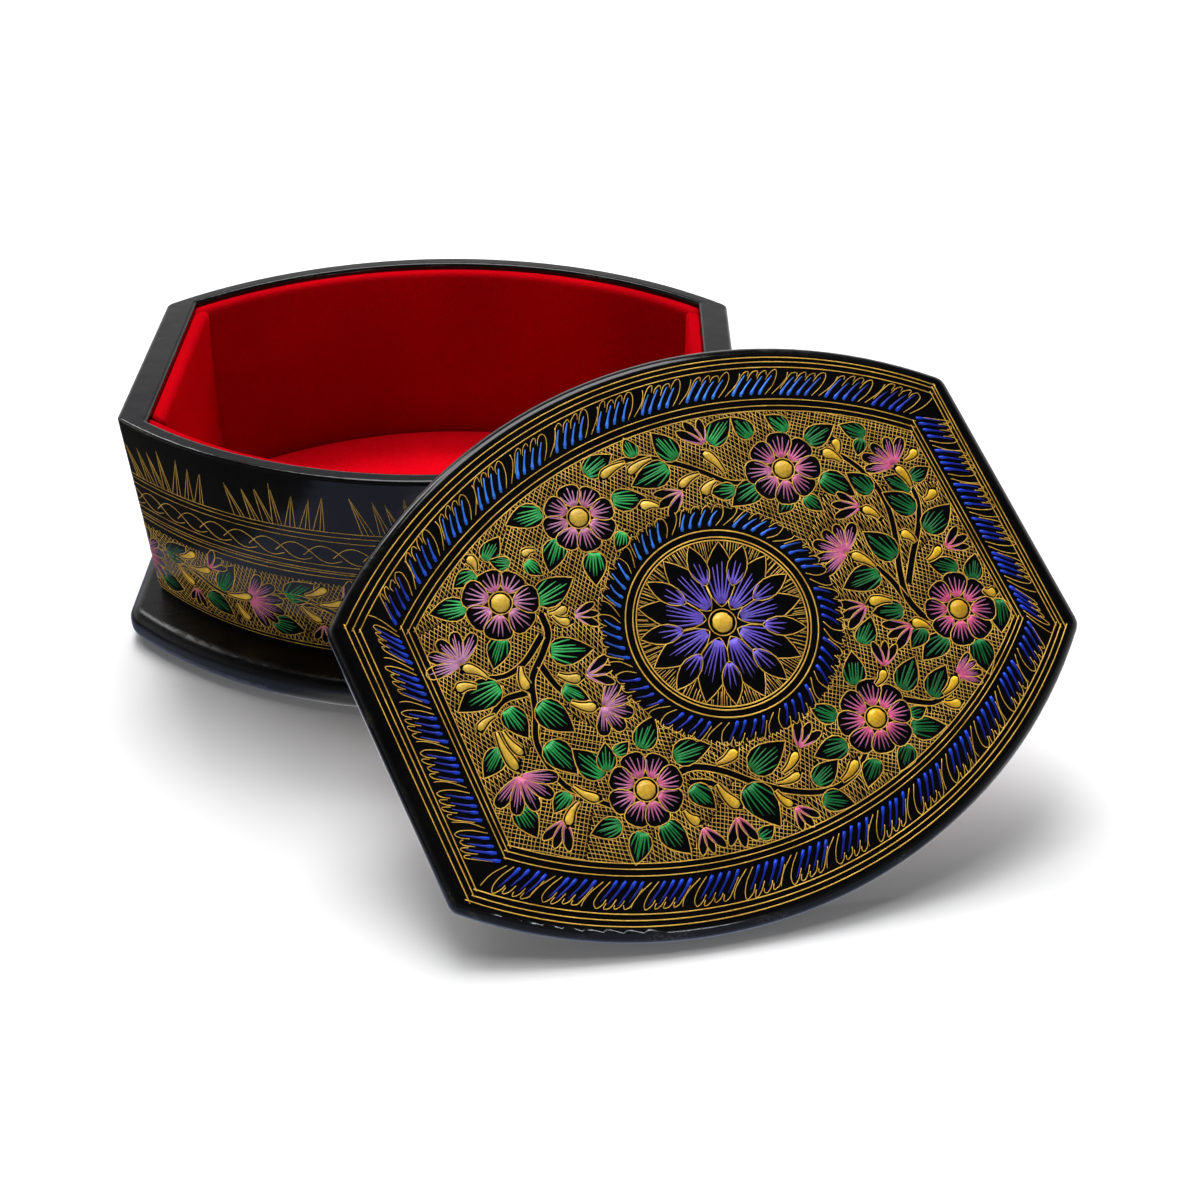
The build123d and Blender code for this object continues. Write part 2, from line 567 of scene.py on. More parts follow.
class Ground:
    """Fine grid over a drawing that holds, for each cell, the net's patch there, or -1 for none."""

    BARE = -1
    CELL = 0.22

    def __init__(self, low: Point, high: Point) -> None:
        """Makes a ground with no net anywhere.

        Args:
            low: Lowest corner of the drawing.
            high: Highest corner of the drawing.
        """
        self.low = np.array(low, float)
        shape = np.ceil((np.array(high) - self.low) / self.CELL).astype(int) + 1
        self.patch = np.full(shape, self.BARE, np.int16)

    def fill(self, outline: np.ndarray, patch: int) -> None:
        """Gives every cell inside a closed outline to a patch.

        Args:
            outline: Corners of the outline.
            patch: Number of the patch.
        """
        corner = np.floor((outline.min(0) - self.low) / self.CELL).astype(int)
        far = np.ceil((outline.max(0) - self.low) / self.CELL).astype(int) + 1
        corner, far = np.maximum(corner, 0), np.minimum(far, self.patch.shape)
        if (far <= corner).any():
            return
        xs = self.low[0] + np.arange(corner[0], far[0]) * self.CELL
        ys = self.low[1] + np.arange(corner[1], far[1]) * self.CELL
        inside = np.zeros((len(xs), len(ys)), bool)
        for (x0, y0), (x1, y1) in zip(outline, np.roll(outline, -1, axis=0)):
            if y0 != y1:
                crosses = (y0 > ys) != (y1 > ys)
                at_x = x0 + (ys - y0) * (x1 - x0) / (y1 - y0)
                inside ^= crosses[None, :] & (xs[:, None] < at_x[None, :])
        self.patch[corner[0] : far[0], corner[1] : far[1]][inside] = patch

    def share_out(self, seeds: np.ndarray) -> None:
        """Gives each cell that has a net to the nearest of some points.

        Args:
            seeds: The points.
        """
        xs = self.low[0] + np.arange(self.patch.shape[0]) * self.CELL
        ys = self.low[1] + np.arange(self.patch.shape[1]) * self.CELL
        nearest = np.full(self.patch.shape, np.inf, np.float32)
        owner = np.zeros(self.patch.shape, np.int16)
        for index, (x, y) in enumerate(seeds):
            distance = (xs[:, None] - x) ** 2 + (ys[None, :] - y) ** 2
            closer = distance < nearest
            nearest[closer], owner[closer] = distance[closer], index
        netted = self.patch != self.BARE
        self.patch[netted] = owner[netted]

    def at(self, points: np.ndarray) -> np.ndarray:
        """Patches at some points.

        Args:
            points: The points.

        Returns:
            Number of the patch at each point.
        """
        index = np.rint((points - self.low) / self.CELL).astype(int)
        good = ((index >= 0) & (index < self.patch.shape)).all(1)
        index = np.clip(index, 0, np.array(self.patch.shape) - 1)
        return np.where(good, self.patch[index[:, 0], index[:, 1]], self.BARE)


@dataclass
class Drawing:
    """Hand-drawn ornament on a flat drawing, sorted by paint, and the ground under it.

    Every stroke is a row of points with a half width each, in millimetres.
    """

    ground: Ground
    random: np.random.Generator
    line_half: float = 0.15
    net_half: float = 0.088
    strokes: dict[Paint, list[Stroke]] = field(default_factory=dict)

    def jitter(self, size: float) -> float:
        """One small unevenness of the hand."""
        return float(self.random.uniform(-size, size))

    def stroke(
        self, paint: Paint, points: np.ndarray, halves: np.ndarray | float, closed: bool = False
    ) -> None:
        """Keeps one stroke: its middle line, its half widths and whether its ends meet."""
        row = np.column_stack([points, np.broadcast_to(halves, len(points))])
        self.strokes.setdefault(paint, []).append(Stroke.along(row, closed))

    def clear(self, outline: np.ndarray) -> None:
        """Makes the inside of a closed outline bare, of the net and of earlier strokes.

        Args:
            outline: The outline.
        """
        self.ground.fill(outline, Ground.BARE)
        (left, low), (right, high) = outline.min(0), outline.max(0)
        for paint, strokes in self.strokes.items():
            kept = []
            for stroke in strokes:
                x0, y0, x1, y1 = stroke.box
                apart = x0 > right or x1 < left or y0 > high or y1 < low
                kept += [stroke] if apart else stroke.outside(outline)
            self.strokes[paint] = kept

    def line(self, points: np.ndarray, half: float = 0.0, closed: bool = False) -> None:
        """Draws a thin gold line, its thickness a little uneven."""
        size = (half or self.line_half) * self.random.uniform(0.88, 1.12, len(points))
        self.stroke(Paint.LINE, points, size, closed)

    def brushed(self, paint: Paint, points: np.ndarray, brush: Brush, size: float = 1.0) -> None:
        """Draws one brush stroke from its head to its tail."""
        share = np.linspace(0, 1, len(points))
        self.stroke(paint, points, brush.at(share) * size)

    def petal(
        self,
        base: Point,
        tip: Point,
        width: float,
        form: PetalForm,
        paint: Paint,
        hairs: int,
        bow: float = 0.0,
        reach: tuple[float, float] = (0.68, 0.93),
        spread: float = 0.84,
    ) -> None:
        """Draws a petal or leaf: a bare black shape with a gold outline and a fan of strokes.

        Args:
            base: Where the strokes start.
            tip: Its far end.
            width: Width where it is widest.
            form: Shape of the outline.
            paint: Paint of the strokes.
            hairs: Number of strokes.
            bow: How far its middle line bows to the left.
            reach: Shortest and longest stroke, as shares of the length.
            spread: Share of the width that the strokes take.
        """
        start, end = np.array(base, float), np.array(tip, float)
        axis = end - start
        left = np.array([-axis[1], axis[0]]) / (np.linalg.norm(axis) + 1e-9)

        def inside(share: np.ndarray, aside: np.ndarray | float) -> np.ndarray:
            """Points at shares of the length and of the half width."""
            over = aside * form.half_width(share) * width / 2 + bow * np.sin(np.pi * share)
            return start + share[:, None] * axis + over[:, None] * left

        share = (1 - np.cos(np.linspace(0, np.pi, 9))) / 2
        edge = np.concatenate([inside(share, 1.0)[:-1], inside(share[::-1], -1.0)[:-1]])
        self.clear(edge)
        self.line(edge, closed=True)
        steps = np.linspace(0, 1, 6)[:, None]
        for aside in np.linspace(-spread, spread, hairs):
            farthest = reach[1] - (reach[1] - reach[0]) * abs(aside) / spread
            ends = np.array([0.05, farthest * self.random.uniform(0.86, 1.05)])
            head, tail = inside(ends, np.array([0.8, 1.0]) * aside + self.jitter(0.07))
            curl = 0.25 * aside * np.sin(np.pi * steps) * left
            self.brushed(paint, head + (tail - head) * steps + curl, self.hair_brush(paint))

    @staticmethod
    def hair_brush(paint: Paint) -> Brush:
        """Brush of the strokes inside a petal or leaf."""
        return LEAF_BRUSH if paint is Paint.GREEN else PETAL_BRUSH

    def fan(
        self,
        centre: Point,
        radius: float,
        start: float,
        end: float,
        petals: int,
        hairs: int = 5,
        hub: float = 0.0,
        form: PetalForm = ROUND_PETAL,
    ) -> None:
        """Draws pink petals side by side round a centre.

        Args:
            centre: Centre of the fan.
            radius: Distance to the petals' tips.
            start: Direction of the fan's first edge, in degrees.
            end: Direction of its last edge.
            petals: Number of petals.
            hairs: Strokes in each petal.
            hub: Distance from the centre to the petals' bases.
            form: Shape of the petals.
        """
        middle = np.array(centre)
        step = (end - start) / petals
        for index in range(petals):
            angle = math.radians(start + (index + 0.5) * step + self.jitter(2.0))
            way = np.array([math.cos(angle), math.sin(angle)])
            reach = radius * self.random.uniform(0.93, 1.05)
            width = 2 * (hub + (reach - hub) * 0.66) * math.tan(math.radians(step) / 2) * 1.04
            self.petal(middle + way * hub, middle + way * reach, width, form, Paint.PINK, hairs)

    def flower(self, centre: Point, radius: float, petals: int, turn: float) -> None:
        """Draws an open flower: petals all round a raised yellow boss in a gold ring.

        Args:
            centre: Middle of the flower.
            radius: Reach of its petals.
            petals: Number of petals.
            turn: Where the petals begin, in degrees.
        """
        boss = 2.8
        hub = boss + 0.7
        self.clear(self.circle(centre, radius * 0.6, 24))
        self.fan(centre, radius, turn, turn + 360, petals, hub=hub)
        self.boss(centre, boss)
        self.line(self.circle(centre, hub, 24), closed=True)

    def boss(self, centre: Point, radius: float) -> None:
        """Lays a raised round of yellow paint.

        Args:
            centre: Its middle.
            radius: Its radius.
        """
        shares = np.linspace(-0.995, 0.995, 9)
        points = np.array(centre) + np.column_stack([shares * radius, np.zeros(len(shares))])
        self.stroke(Paint.YELLOW, points, radius * np.sqrt(1 - shares**2))

    @staticmethod
    def circle(centre: Point, radius: float, count: int) -> np.ndarray:
        """Closed round of points."""
        angle = np.arange(count) * 2 * np.pi / count
        return np.array(centre) + radius * np.column_stack([np.cos(angle), np.sin(angle)])

    def bud(self, base: Point, direction: float, length: float) -> None:
        """Draws a bud of three narrow petals that open in one direction, given in degrees."""
        self.fan(base, length, direction - 42, direction + 42, 3, hairs=2, form=BUD_PETAL)

    def leaf(self, base: Point, tip: Point, width: float = 0.0, bow: float = 0.0) -> None:
        """Draws a leaf from its base to its tip, over half as wide as it is long by default.

        Args:
            base: Its base.
            tip: Its tip.
            width: Its width, 0 for the default.
            bow: How far its middle stands off the straight line.
        """
        size = width or 0.58 * math.dist(base, tip) + 1.0
        hairs = 6 if size > 6 else 5 if size > 4.5 else 4
        reach = (0.55, self.random.uniform(0.78, 0.94))
        self.petal(base, tip, size, POINTED_LEAF, Paint.GREEN, hairs, bow, reach, spread=0.88)

    def drop(self, blob: Point, tail: Point, size: float) -> None:
        """Draws a yellow drop with a curved tail, on bare black inside a gold outline.

        Args:
            blob: Its thick end.
            tail: Its thin end.
            size: Its thickness, 1 for the usual one.
        """
        bow = 0.6
        head, foot = np.array(blob, float), np.array(tail, float)
        axis = foot - head
        left = np.array([-axis[1], axis[0]]) / np.linalg.norm(axis)
        share = np.linspace(0, 1, 9)
        path = head + share[:, None] * axis + (bow * np.sin(np.pi * share))[:, None] * left
        halves = DROP_BRUSH.at(share) * size
        lead = path[0] - axis / np.linalg.norm(axis) * 1.3 * size
        margin = halves + 0.6
        sides = offset_line(path, margin), offset_line(path, -margin)
        edge = np.concatenate([[lead], sides[0], sides[1][::-1]])
        self.clear(edge)
        self.line(edge[:-1], half=self.line_half * 0.9)
        self.brushed(Paint.YELLOW, path, DROP_BRUSH, size)

    def stem(self, points: Sequence[Point], start: float = 1.1, end: float = 0.8) -> None:
        """Draws a black stem between two gold lines.

        Args:
            points: Points that its middle line goes through.
            start: Half width where it starts.
            end: Half width where it ends.
        """
        path = smooth_line(points, 1.6)
        halves = np.linspace(start, end, len(path))
        sides = offset_line(path, halves), offset_line(path, -halves)
        self.ground.fill(np.concatenate([sides[0], sides[1][::-1]]), Ground.BARE)
        for side in sides:
            self.line(side)

    def feathers(
        self, track: Track, start: float, count: int, gap: float, lean: float, length: float
    ) -> None:
        """Draws a group of blue feathers with gold fingers round their tips.

        Args:
            track: Line of the feathers' bases, with outwards on its left.
            start: Distance along it of the group's first feather.
            count: Number of feathers.
            gap: Distance between them.
            lean: Lean of the feathers along the line, in degrees.
            length: Length of a feather.
        """
        slope = math.radians(lean + self.jitter(3))

        def spot(place: float, rise: float) -> np.ndarray:
            """Point at a place among the feathers and a share of their length.

            Args:
                place: Number of the feather.
                rise: The share.

            Returns:
                The point.
            """
            base, out = track.at(start + place * gap)
            along = np.array([out[1], -out[0]])
            return base + (out * math.cos(slope) + along * math.sin(slope)) * length * rise

        rises = np.linspace(0, 1, 7)
        for index in range(count):
            place = index + self.jitter(0.09)
            foot, tip = self.jitter(0.04), self.random.uniform(0.84, 1.03)
            sag = 0.1 * np.sin(np.pi * rises)
            path = [spot(place - bend, foot + tip * rise) for bend, rise in zip(sag, rises)]
            self.brushed(Paint.BLUE, np.array(path), FEATHER_BRUSH, self.random.uniform(0.88, 1.1))
        self.fingers(spot, count)

    def fingers(self, spot: Callable[[float, float], np.ndarray], count: int) -> None:
        """Draws the gold fingers round the tips of a group of feathers.

        Args:
            spot: Point at a place among the feathers and a share of their length.
            count: Number of feathers.
        """
        for index in range(count):
            top = self.random.uniform(1.14, 1.26)
            foot = 0.3 if index == 0 else self.random.uniform(0.66, 0.86)
            knots = [(-0.38, foot), (-0.43, 1.0), (-0.28, top - 0.05)]
            knots += [(-0.03, top), (0.2, top - 0.06)]
            if index == count - 1:
                knots += [(0.58, 0.95), (0.85, 0.5), (0.72, 0.02)]
            else:
                knots.append((0.34, self.random.uniform(0.9, 1.0)))
            points = [tuple(spot(index + place, rise)) for place, rise in knots]
            self.line(smooth_line(points, 0.8), half=self.line_half * 0.72)
        sweep = ((0.45, 0.04), (0.85, 0.5), (0.85, 0.85), (0.6, 1.12))
        points = [tuple(spot(count + place + self.jitter(0.06), rise)) for place, rise in sweep]
        self.line(smooth_line(points, 1.2), half=self.line_half * 0.72)

    def net(self, pitch: float, seeds: np.ndarray, angles: Sequence[tuple[float, float]]) -> None:
        """Fills the ground that is left with a net of two crossing families of lines.

        Args:
            pitch: Distance between the lines of a family.
            seeds: Middles of the patches, which differ in the net's direction.
            angles: The two directions of each patch, in degrees.
        """
        self.ground.share_out(seeds)
        cells = self.ground.patch
        for patch, pair in enumerate(angles):
            held = np.argwhere(cells == patch)
            if not len(held):
                continue
            corners = self.ground.low + np.array([held.min(0), held.max(0)]) * self.ground.CELL
            middle, radius = corners.mean(0), np.linalg.norm(corners[1] - corners[0]) / 2
            for angle in pair:
                self.hatch(patch, middle, radius, math.radians(angle), pitch)

    def hatch(
        self, patch: int, middle: np.ndarray, radius: float, angle: float, pitch: float
    ) -> None:
        """Draws one family of the net's lines over a patch.

        Args:
            patch: Number of the patch.
            middle: Middle of the patch.
            radius: Distance from there to its farthest point.
            angle: Direction of the lines, in radians.
            pitch: Distance between the lines.
        """
        way = np.array([math.cos(angle), math.sin(angle)])
        across = np.array([-way[1], way[0]])
        steps = np.arange(-radius, radius, 0.3)
        for offset in np.arange(-radius, radius, pitch):
            wave = 0.12 * np.sin(steps * self.random.uniform(0.3, 0.6) + self.random.uniform(0, 6))
            aside = offset + self.jitter(0.14) + wave
            points = middle + across * aside[:, None] + steps[:, None] * way
            for first, last in runs(self.ground.at(points) == patch):
                run = points[first:last]
                keep = np.unique(np.linspace(0, len(run) - 1, 2 + len(run) // 12).astype(int))
                self.stroke(Paint.NET, run[keep], self.net_half)


@dataclass(frozen=True)
class Relief:
    """How high the paint of a drawing stands, and how round its strokes are."""

    flatness: float
    lift: float
    sides: int


RELIEFS = {
    Paint.LINE: Relief(0.75, 0.03, 1),
    Paint.NET: Relief(0.75, 0.02, 0),
    Paint.BLUE: Relief(0.5, 0.03, 1),
    Paint.GREEN: Relief(0.5, 0.03, 1),
    Paint.PINK: Relief(0.5, 0.03, 1),
    Paint.PURPLE: Relief(0.5, 0.03, 1),
    Paint.YELLOW: Relief(0.28, 0.02, 3),
}


def stroke_mesh(name: str, strokes: Iterable[Stroke], relief: Relief) -> bpy.types.Mesh:
    """Flat mesh of round strokes, in millimetres.

    Args:
        name: Name of the mesh.
        strokes: The strokes.
        relief: How round they are.

    Returns:
        The mesh, whose UV map runs along each stroke.
    """
    curve = bpy.data.curves.new(name, "CURVE")
    curve.dimensions = "3D"
    curve.twist_mode = "Z_UP"
    curve.bevel_depth = 1.0
    curve.bevel_resolution = relief.sides
    curve.use_fill_caps = True
    for stroke in strokes:
        row = stroke.row
        spline = curve.splines.new("POLY")
        spline.points.add(len(row) - 1)
        places = np.zeros((len(row), 4), np.float32)
        places[:, :2], places[:, 3] = row[:, :2], 1
        spline.points.foreach_set("co", places.ravel())
        spline.points.foreach_set("radius", row[:, 2].astype(np.float32))
        spline.use_cyclic_u = stroke.closed
    carrier = bpy.data.objects.new(name, curve)
    bpy.context.scene.collection.objects.link(carrier)
    shown = carrier.evaluated_get(bpy.context.evaluated_depsgraph_get())
    mesh = bpy.data.meshes.new_from_object(shown)
    bpy.data.objects.remove(carrier)
    bpy.data.curves.remove(curve)
    return mesh


def vertex_places(mesh: bpy.types.Mesh) -> np.ndarray:
    """Places of a mesh's vertices.

    Args:
        mesh: The mesh.

    Returns:
        One row for each vertex.
    """
    flat = np.zeros(len(mesh.vertices) * 3, np.float32)
    mesh.vertices.foreach_get("co", flat)
    return flat.reshape(-1, 3).astype(float)


def show_piece(
    name: str, mesh: bpy.types.Mesh, finish: bpy.types.Material, body: str
) -> bpy.types.Object:
    """Puts a finished mesh in the scene as a piece that rides on a body.

    Args:
        name: Name of the piece.
        mesh: Its mesh, in metres and in place.
        finish: Its material.
        body: Body that it rides on.

    Returns:
        The piece.
    """
    mesh.materials.clear()
    mesh.materials.append(finish)
    mesh.shade_smooth()
    piece = bpy.data.objects.new(name, mesh)
    bpy.context.scene.collection.objects.link(piece)
    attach(piece, body)
    log.info("%s: %d faces", name, len(mesh.polygons))
    return piece


def lay_drawing(
    drawing: Drawing,
    face: LidFace | WallFace,
    body: str,
    prefix: str,
    finishes: dict[Paint, bpy.types.Material],
) -> None:
    """Lays a drawing on the face that carries it, one piece for each paint.

    Args:
        drawing: The ornament.
        face: Surface that it lies on.
        body: Body that the pieces ride on.
        prefix: Start of the pieces' names.
        finishes: Material of each paint.
    """
    for paint, strokes in drawing.strokes.items():
        relief = RELIEFS[paint]
        name = f"{prefix}_{paint.value}"
        mesh = stroke_mesh(name, strokes, relief)
        places = vertex_places(mesh)
        places[:, 2] = places[:, 2] * relief.flatness + relief.lift
        mesh.vertices.foreach_set("co", face.settle(places).astype(np.float32).ravel())
        shape = bmesh.new()
        shape.from_mesh(mesh)
        bmesh.ops.remove_doubles(shape, verts=shape.verts, dist=1e-6)
        shape.to_mesh(mesh)
        shape.free()
        show_piece(name, mesh, finishes[paint], body)


# Ornament of the lid


@dataclass
class LidOrnament:
    """Ornament of the lid: border lines, feather band, central rosette and flowers on a net."""

    face: LidFace
    # Insets of each line at the start and end of the front, right, back and left edges
    border_lines: tuple[tuple[Point, ...], ...] = (
        ((3.9, 4.1), (5.7, 4.7), (4.2, 4.7), (5.6, 5.3)),
        ((5.6, 5.8), (7.0, 5.6), (5.5, 7.0), (7.4, 7.1)),
        ((7.4, 7.3), (8.1, 6.9), (7.3, 9.0), (9.1, 8.4)),
        ((18.2, 17.2), (16.7, 16.7), (18.2, 19.2), (20.2, 19.4)),
        ((20.2, 18.6), (18.0, 18.0), (20.3, 21.5), (21.6, 20.8)),
    )
    field_edge: tuple[Point, ...] = ((21.9, 20.0), (19.1, 19.1), (22.0, 23.1), (23.5, 22.0))
    feather_edge: tuple[Point, ...] = ((16.6, 15.6), (15.3, 15.3), (16.7, 17.7), (18.7, 17.9))
    feather_length: float = 8.4
    feather_lean: float = 37.0
    # Lean of the first group on an end, and how much more the last one leans
    end_lean: Point = (30.0, 26.0)
    feather_groups: tuple[int, ...] = (14, 6, 13, 6)
    group_feathers: int = 4
    # Distance between feathers, as a share of that between groups
    feather_gap: float = 0.185
    rosette_feather_gap: float = 0.18
    rosette: Point = (2.8, -0.1)
    rosette_rings: tuple[float, ...] = (25.6, 26.6, 28.8)
    rosette_clearing: float = 36.0
    rosette_feathers: float = 30.2
    rosette_feather_length: float = 6.4
    rosette_feather_lean: float = 34.0
    rosette_groups: int = 12
    rosette_boss: float = 3.1
    petal_ways: tuple[float, ...] = (-170, -128, -87, -48, -6, 32, 66, 108, 147)
    # Distances of a petal's base and tip from the rosette's middle, and its width
    inner_petal: tuple[float, float, float] = (4.8, 25.2, 9.0)
    outer_petal: tuple[float, float, float] = (12.0, 25.2, 6.0)
    # Turn of the whole field of flowers, clockwise in degrees
    field_turn: float = 0.75
    # Centre, radius, number of petals and turn in degrees
    flowers: Rows = (
        (-55.0, 30.6, 11.0, 7, 12), (-22.8, 46.0, 11.0, 8, 20), (41.6, 36.4, 12.0, 8, 5),
        (71.0, -24.2, 11.3, 8, 0), (32.0, -44.0, 11.5, 8, 10), (-39.5, -36.2, 11.0, 8, 22),
    )
    # Centre, radius, first and last direction in degrees, and number of petals
    fans: Rows = (
        (-73.0, 18.0, 10.0, 30, 190, 5), (-70.8, -18.4, 11.0, 195, 350, 5),
        (-40.3, -9.3, 9.0, -135, 60, 5), (47.0, 4.8, 10.0, 35, 215, 6),
        (74.0, 24.3, 10.0, 35, 180, 5), (60.6, -41.8, 8.0, -55, 45, 4),
    )
    # Base, direction in degrees and length
    buds: Rows = (
        (-41.0, 1.2, -10, 8.5), (-36.5, 19.0, -20, 7.5), (-64.3, -35.0, 225, 9.0),
        (-29.0, -52.8, 268, 8.0), (-18.8, -54.0, 258, 8.5), (-1.8, -58.0, 285, 7.5),
        (6.6, -42.6, 35, 8.5), (9.5, 41.3, 190, 9.0), (22.5, 53.0, 105, 9.0),
        (57.8, 16.3, 150, 8.5), (45.0, -12.5, 180, 9.0), (55.0, -23.4, 180, 9.0),
        (41.6, -31.0, 62, 8.0), (76.6, -5.2, 5, 8.0),
    )
    # Base and tip
    leaves: Rows = (
        (-64.5, 33, -75.5, 35.5), (-58.0, 41.5, -66, 40), (-54.0, 44.0, -47, 49.5),
        (-47.5, 40.5, -53, 44), (-43.0, 39.5, -40, 33.5), (-32.0, 51.5, -44, 52),
        (-31.0, 42.0, -38, 33.5), (-45.5, 27.0, -32, 29.5), (-58.5, 21.0, -65, 13.0),
        (-48.0, 12.0, -35.5, 7.5), (-65.0, 8.0, -79.5, 5.5), (-66.5, 1.2, -64, -9.5),
        (-57.5, -1.0, -51, -13.0), (-49.0, 0.5, -43, -6.0), (-72.5, -9.0, -80.5, -15),
        (-75.0, -26.0, -73.5, -36.5), (-59.8, -28.5, -66.5, -32), (-60.0, -12.5, -55.5, -24.5),
        (-48.5, -28.0, -54, -17.0), (-47.5, -27.0, -44.5, -19), (-36.0, -25.0, -28, -17.5),
        (-43.5, -23.0, -38, -21.5), (-50.0, -42.5, -59.5, -41.5), (-45.5, -46.5, -51.5, -54.5),
        (-39.0, -46.5, -35.5, -58), (-28.5, -31.0, -16.5, -32), (-27.5, -40.5, -23.5, -49.5),
        (-23.0, 34.5, -27, 24.5), (-12.5, 37.0, -17.0, 32.0), (-15.5, 57.5, -5, 60.5),
        (1.0, 57.0, 0.5, 64), (12.5, 51.5, 9, 62.5), (9.3, 50.5, -4, 49), (-11.5, 47.5, -1, 44),
        (24.0, 52.0, 34, 58), (37.0, 49.3, 34, 58), (48.5, 47.0, 44, 54.5),
        (33.0, 34.5, 21.5, 31.5), (25.0, 36.0, 17, 38.5), (39.5, 27.5, 33.5, 24),
        (43.5, 26.0, 47, 19.5), (51.0, 30.0, 58.5, 20), (52.0, 41.5, 63, 43.5),
        (70.5, 36.5, 64.3, 43), (69.0, 36.0, 65.0, 31.5), (63.7, 19.0, 59, 28),
        (75.2, 15.0, 69, 22.5), (73.5, 8.5, 66.5, 18), (76.8, 18.5, 84.3, 19.8),
        (60.8, -2.5, 55, 9), (54.0, -4.8, 41, -4.8), (73.0, 1.5, 84.8, 6.5),
        (76.8, -13.2, 69, -7.2), (79.3, -18.0, 84.2, -10.5), (84.0, -26.0, 79.5, -36),
        (71.7, -34.5, 70, -46), (63.5, -30.5, 53, -34), (58.5, -25.3, 51.5, -29.5),
        (55.2, -18.0, 45.5, -15), (38.0, -22.3, 45, -15.8), (43.0, -39.8, 51.5, -32),
        (50.3, -45.2, 59, -38), (40.0, -50.5, 50.5, -54.5), (41.5, -47.0, 47.5, -47.0),
        (30.5, -33.0, 34.5, -23), (21.2, -39.5, 15, -33), (20.6, -47.5, 9.5, -47),
        (6.0, -54.2, 15.8, -50.5), (6.0, -59.0, 14.5, -64.3), (26.5, -55.0, 20, -61.5),
        (37.5, -55.0, 31, -61), (-9.5, -43.5, 4, -39.5), (-12.5, -46.5, -8.5, -61.5),
        (-15.8, -61.5, -10, -60.0),
    )
    # Blob, tail and size
    drops: Rows = (
        (-58.2, 47.0, -57.6, 42.5, 1.0), (-43.0, 41.5, -39, 41.5, 0.8),
        (-38.0, 22.0, -43.5, 22.3, 0.9), (-38.8, 17.5, -42.5, 21.3, 0.9),
        (-72.8, 17.0, -67.5, 11.5, 1.0), (-77.0, 11.8, -71.5, 10.4, 1.0),
        (-58.3, 4.0, -57.4, 10.8, 1.0), (-76.0, -1.6, -70, 0.4, 0.8), (-43.0, 1.0, -48.5, 4.5, 1.0),
        (-11.0, 55.0, -2.5, 56.5, 0.95), (-2.8, 53.0, 5.5, 54.8, 0.9), (-4.0, 42.0, 1.0, 40, 1.05),
        (9.8, 43.2, 17, 44.8, 0.9), (15.5, 38.3, 20.5, 41.0, 1.1), (21.2, 50.5, 24.3, 42, 0.95),
        (-70.7, -16.2, -71.7, -4.0, 1.0), (-67.5, -12.8, -70, -4.5, 0.8),
        (-42.5, -8.5, -48.5, -4.5, 1.0), (-64.0, -36.4, -58.7, -31.8, 0.95),
        (-53.0, -33.2, -58.2, -27.0, 0.9), (-29.5, -50.8, -32, -46, 1.0),
        (-17.0, -51.2, -20, -43, 1.1), (-10.7, -36.2, -17.5, -37.5, 1.1),
        (5.3, -43.8, -1, -47.5, 0.9), (3.3, -49.7, -4, -49.5, 0.8), (20.5, -53.0, 14.0, -56.5, 1.0),
        (-2.6, -57.0, -5.3, -51.5, 0.8), (48.5, 3.6, 53.5, -2.5, 1.05),
        (66.0, 4.0, 68.7, -0.2, 1.0), (74.7, -4.5, 69.2, -6.8, 0.9), (46.7, -11.8, 53.2, -14, 1.1),
        (55.7, -22.6, 60, -26, 1.1), (40.7, -32.2, 36.5, -35, 0.9), (60.0, -42.4, 54, -45.5, 0.95),
        (57.5, -49.8, 53, -47.7, 1.0), (84.0, -23.7, 81, -21.6, 1.1), (60.6, 39.0, 59.4, 34.5, 1.0),
        (55.5, 36.6, 59.5, 32, 1.2), (74.6, 23.6, 76, 16, 1.0), (82.7, 26.5, 78, 24.8, 0.95),
        (82.0, 12.5, 77.6, 11, 1.05), (58.5, 15.4, 62, 11, 0.95),
    )
    stems: tuple[tuple[Point, ...], ...] = (
        (
            (-45.5, 23), (-46, 17), (-50, 12), (-56, 6), (-59, -3),
            (-62.5, -12), (-61, -24), (-57, -30), (-50, -37),
        ),
        ((-48, 17), (-56, 11.5), (-63, 10), (-69, 12)),
        ((-52, 9), (-50.5, 2), (-48, -4)),
        ((-59, 3), (-66, 3.5), (-72, 0), (-76, -2.5)),
        ((-11, 56.5), (-4, 57.3), (3, 56), (11, 51), (18, 45), (24, 39), (30, 36.5)),
        ((60, -23), (58, -15), (60, -6), (63.5, 3), (66, 13), (65.5, 22), (62.5, 30), (57, 38)),
        ((60.5, -11), (66, -3.5), (72, 4), (75.5, 11), (76, 16)),
        ((57.5, -15), (56, -8), (53.5, -2)),
        ((62.5, 10), (60, 14)),
        (
            (-30, -35.5), (-24, -35.8), (-17, -40), (-9, -47.5),
            (0, -54), (9, -57.5), (18, -56.5), (25, -51.5),
        ),
        ((-27, -39.5), (-21.5, -42), (-18, -47)),
        ((38, -39.5), (44, -43.5), (50, -46.7), (56, -46)),
    )
    net_pitch: float = 1.14
    net_patches: int = 26

    def border(self, drawing: Drawing) -> None:
        """Draws the gold lines inside the edge, each overrun a little at the corners.

        Args:
            drawing: The drawing.
        """
        for insets in (*self.border_lines, self.field_edge):
            half = 0.155 if insets[0][0] < 9 else 0.14
            for side in range(4):
                drawing.line(self.face.edge(insets, side, drawing.random.uniform(0.1, 0.9)), half)

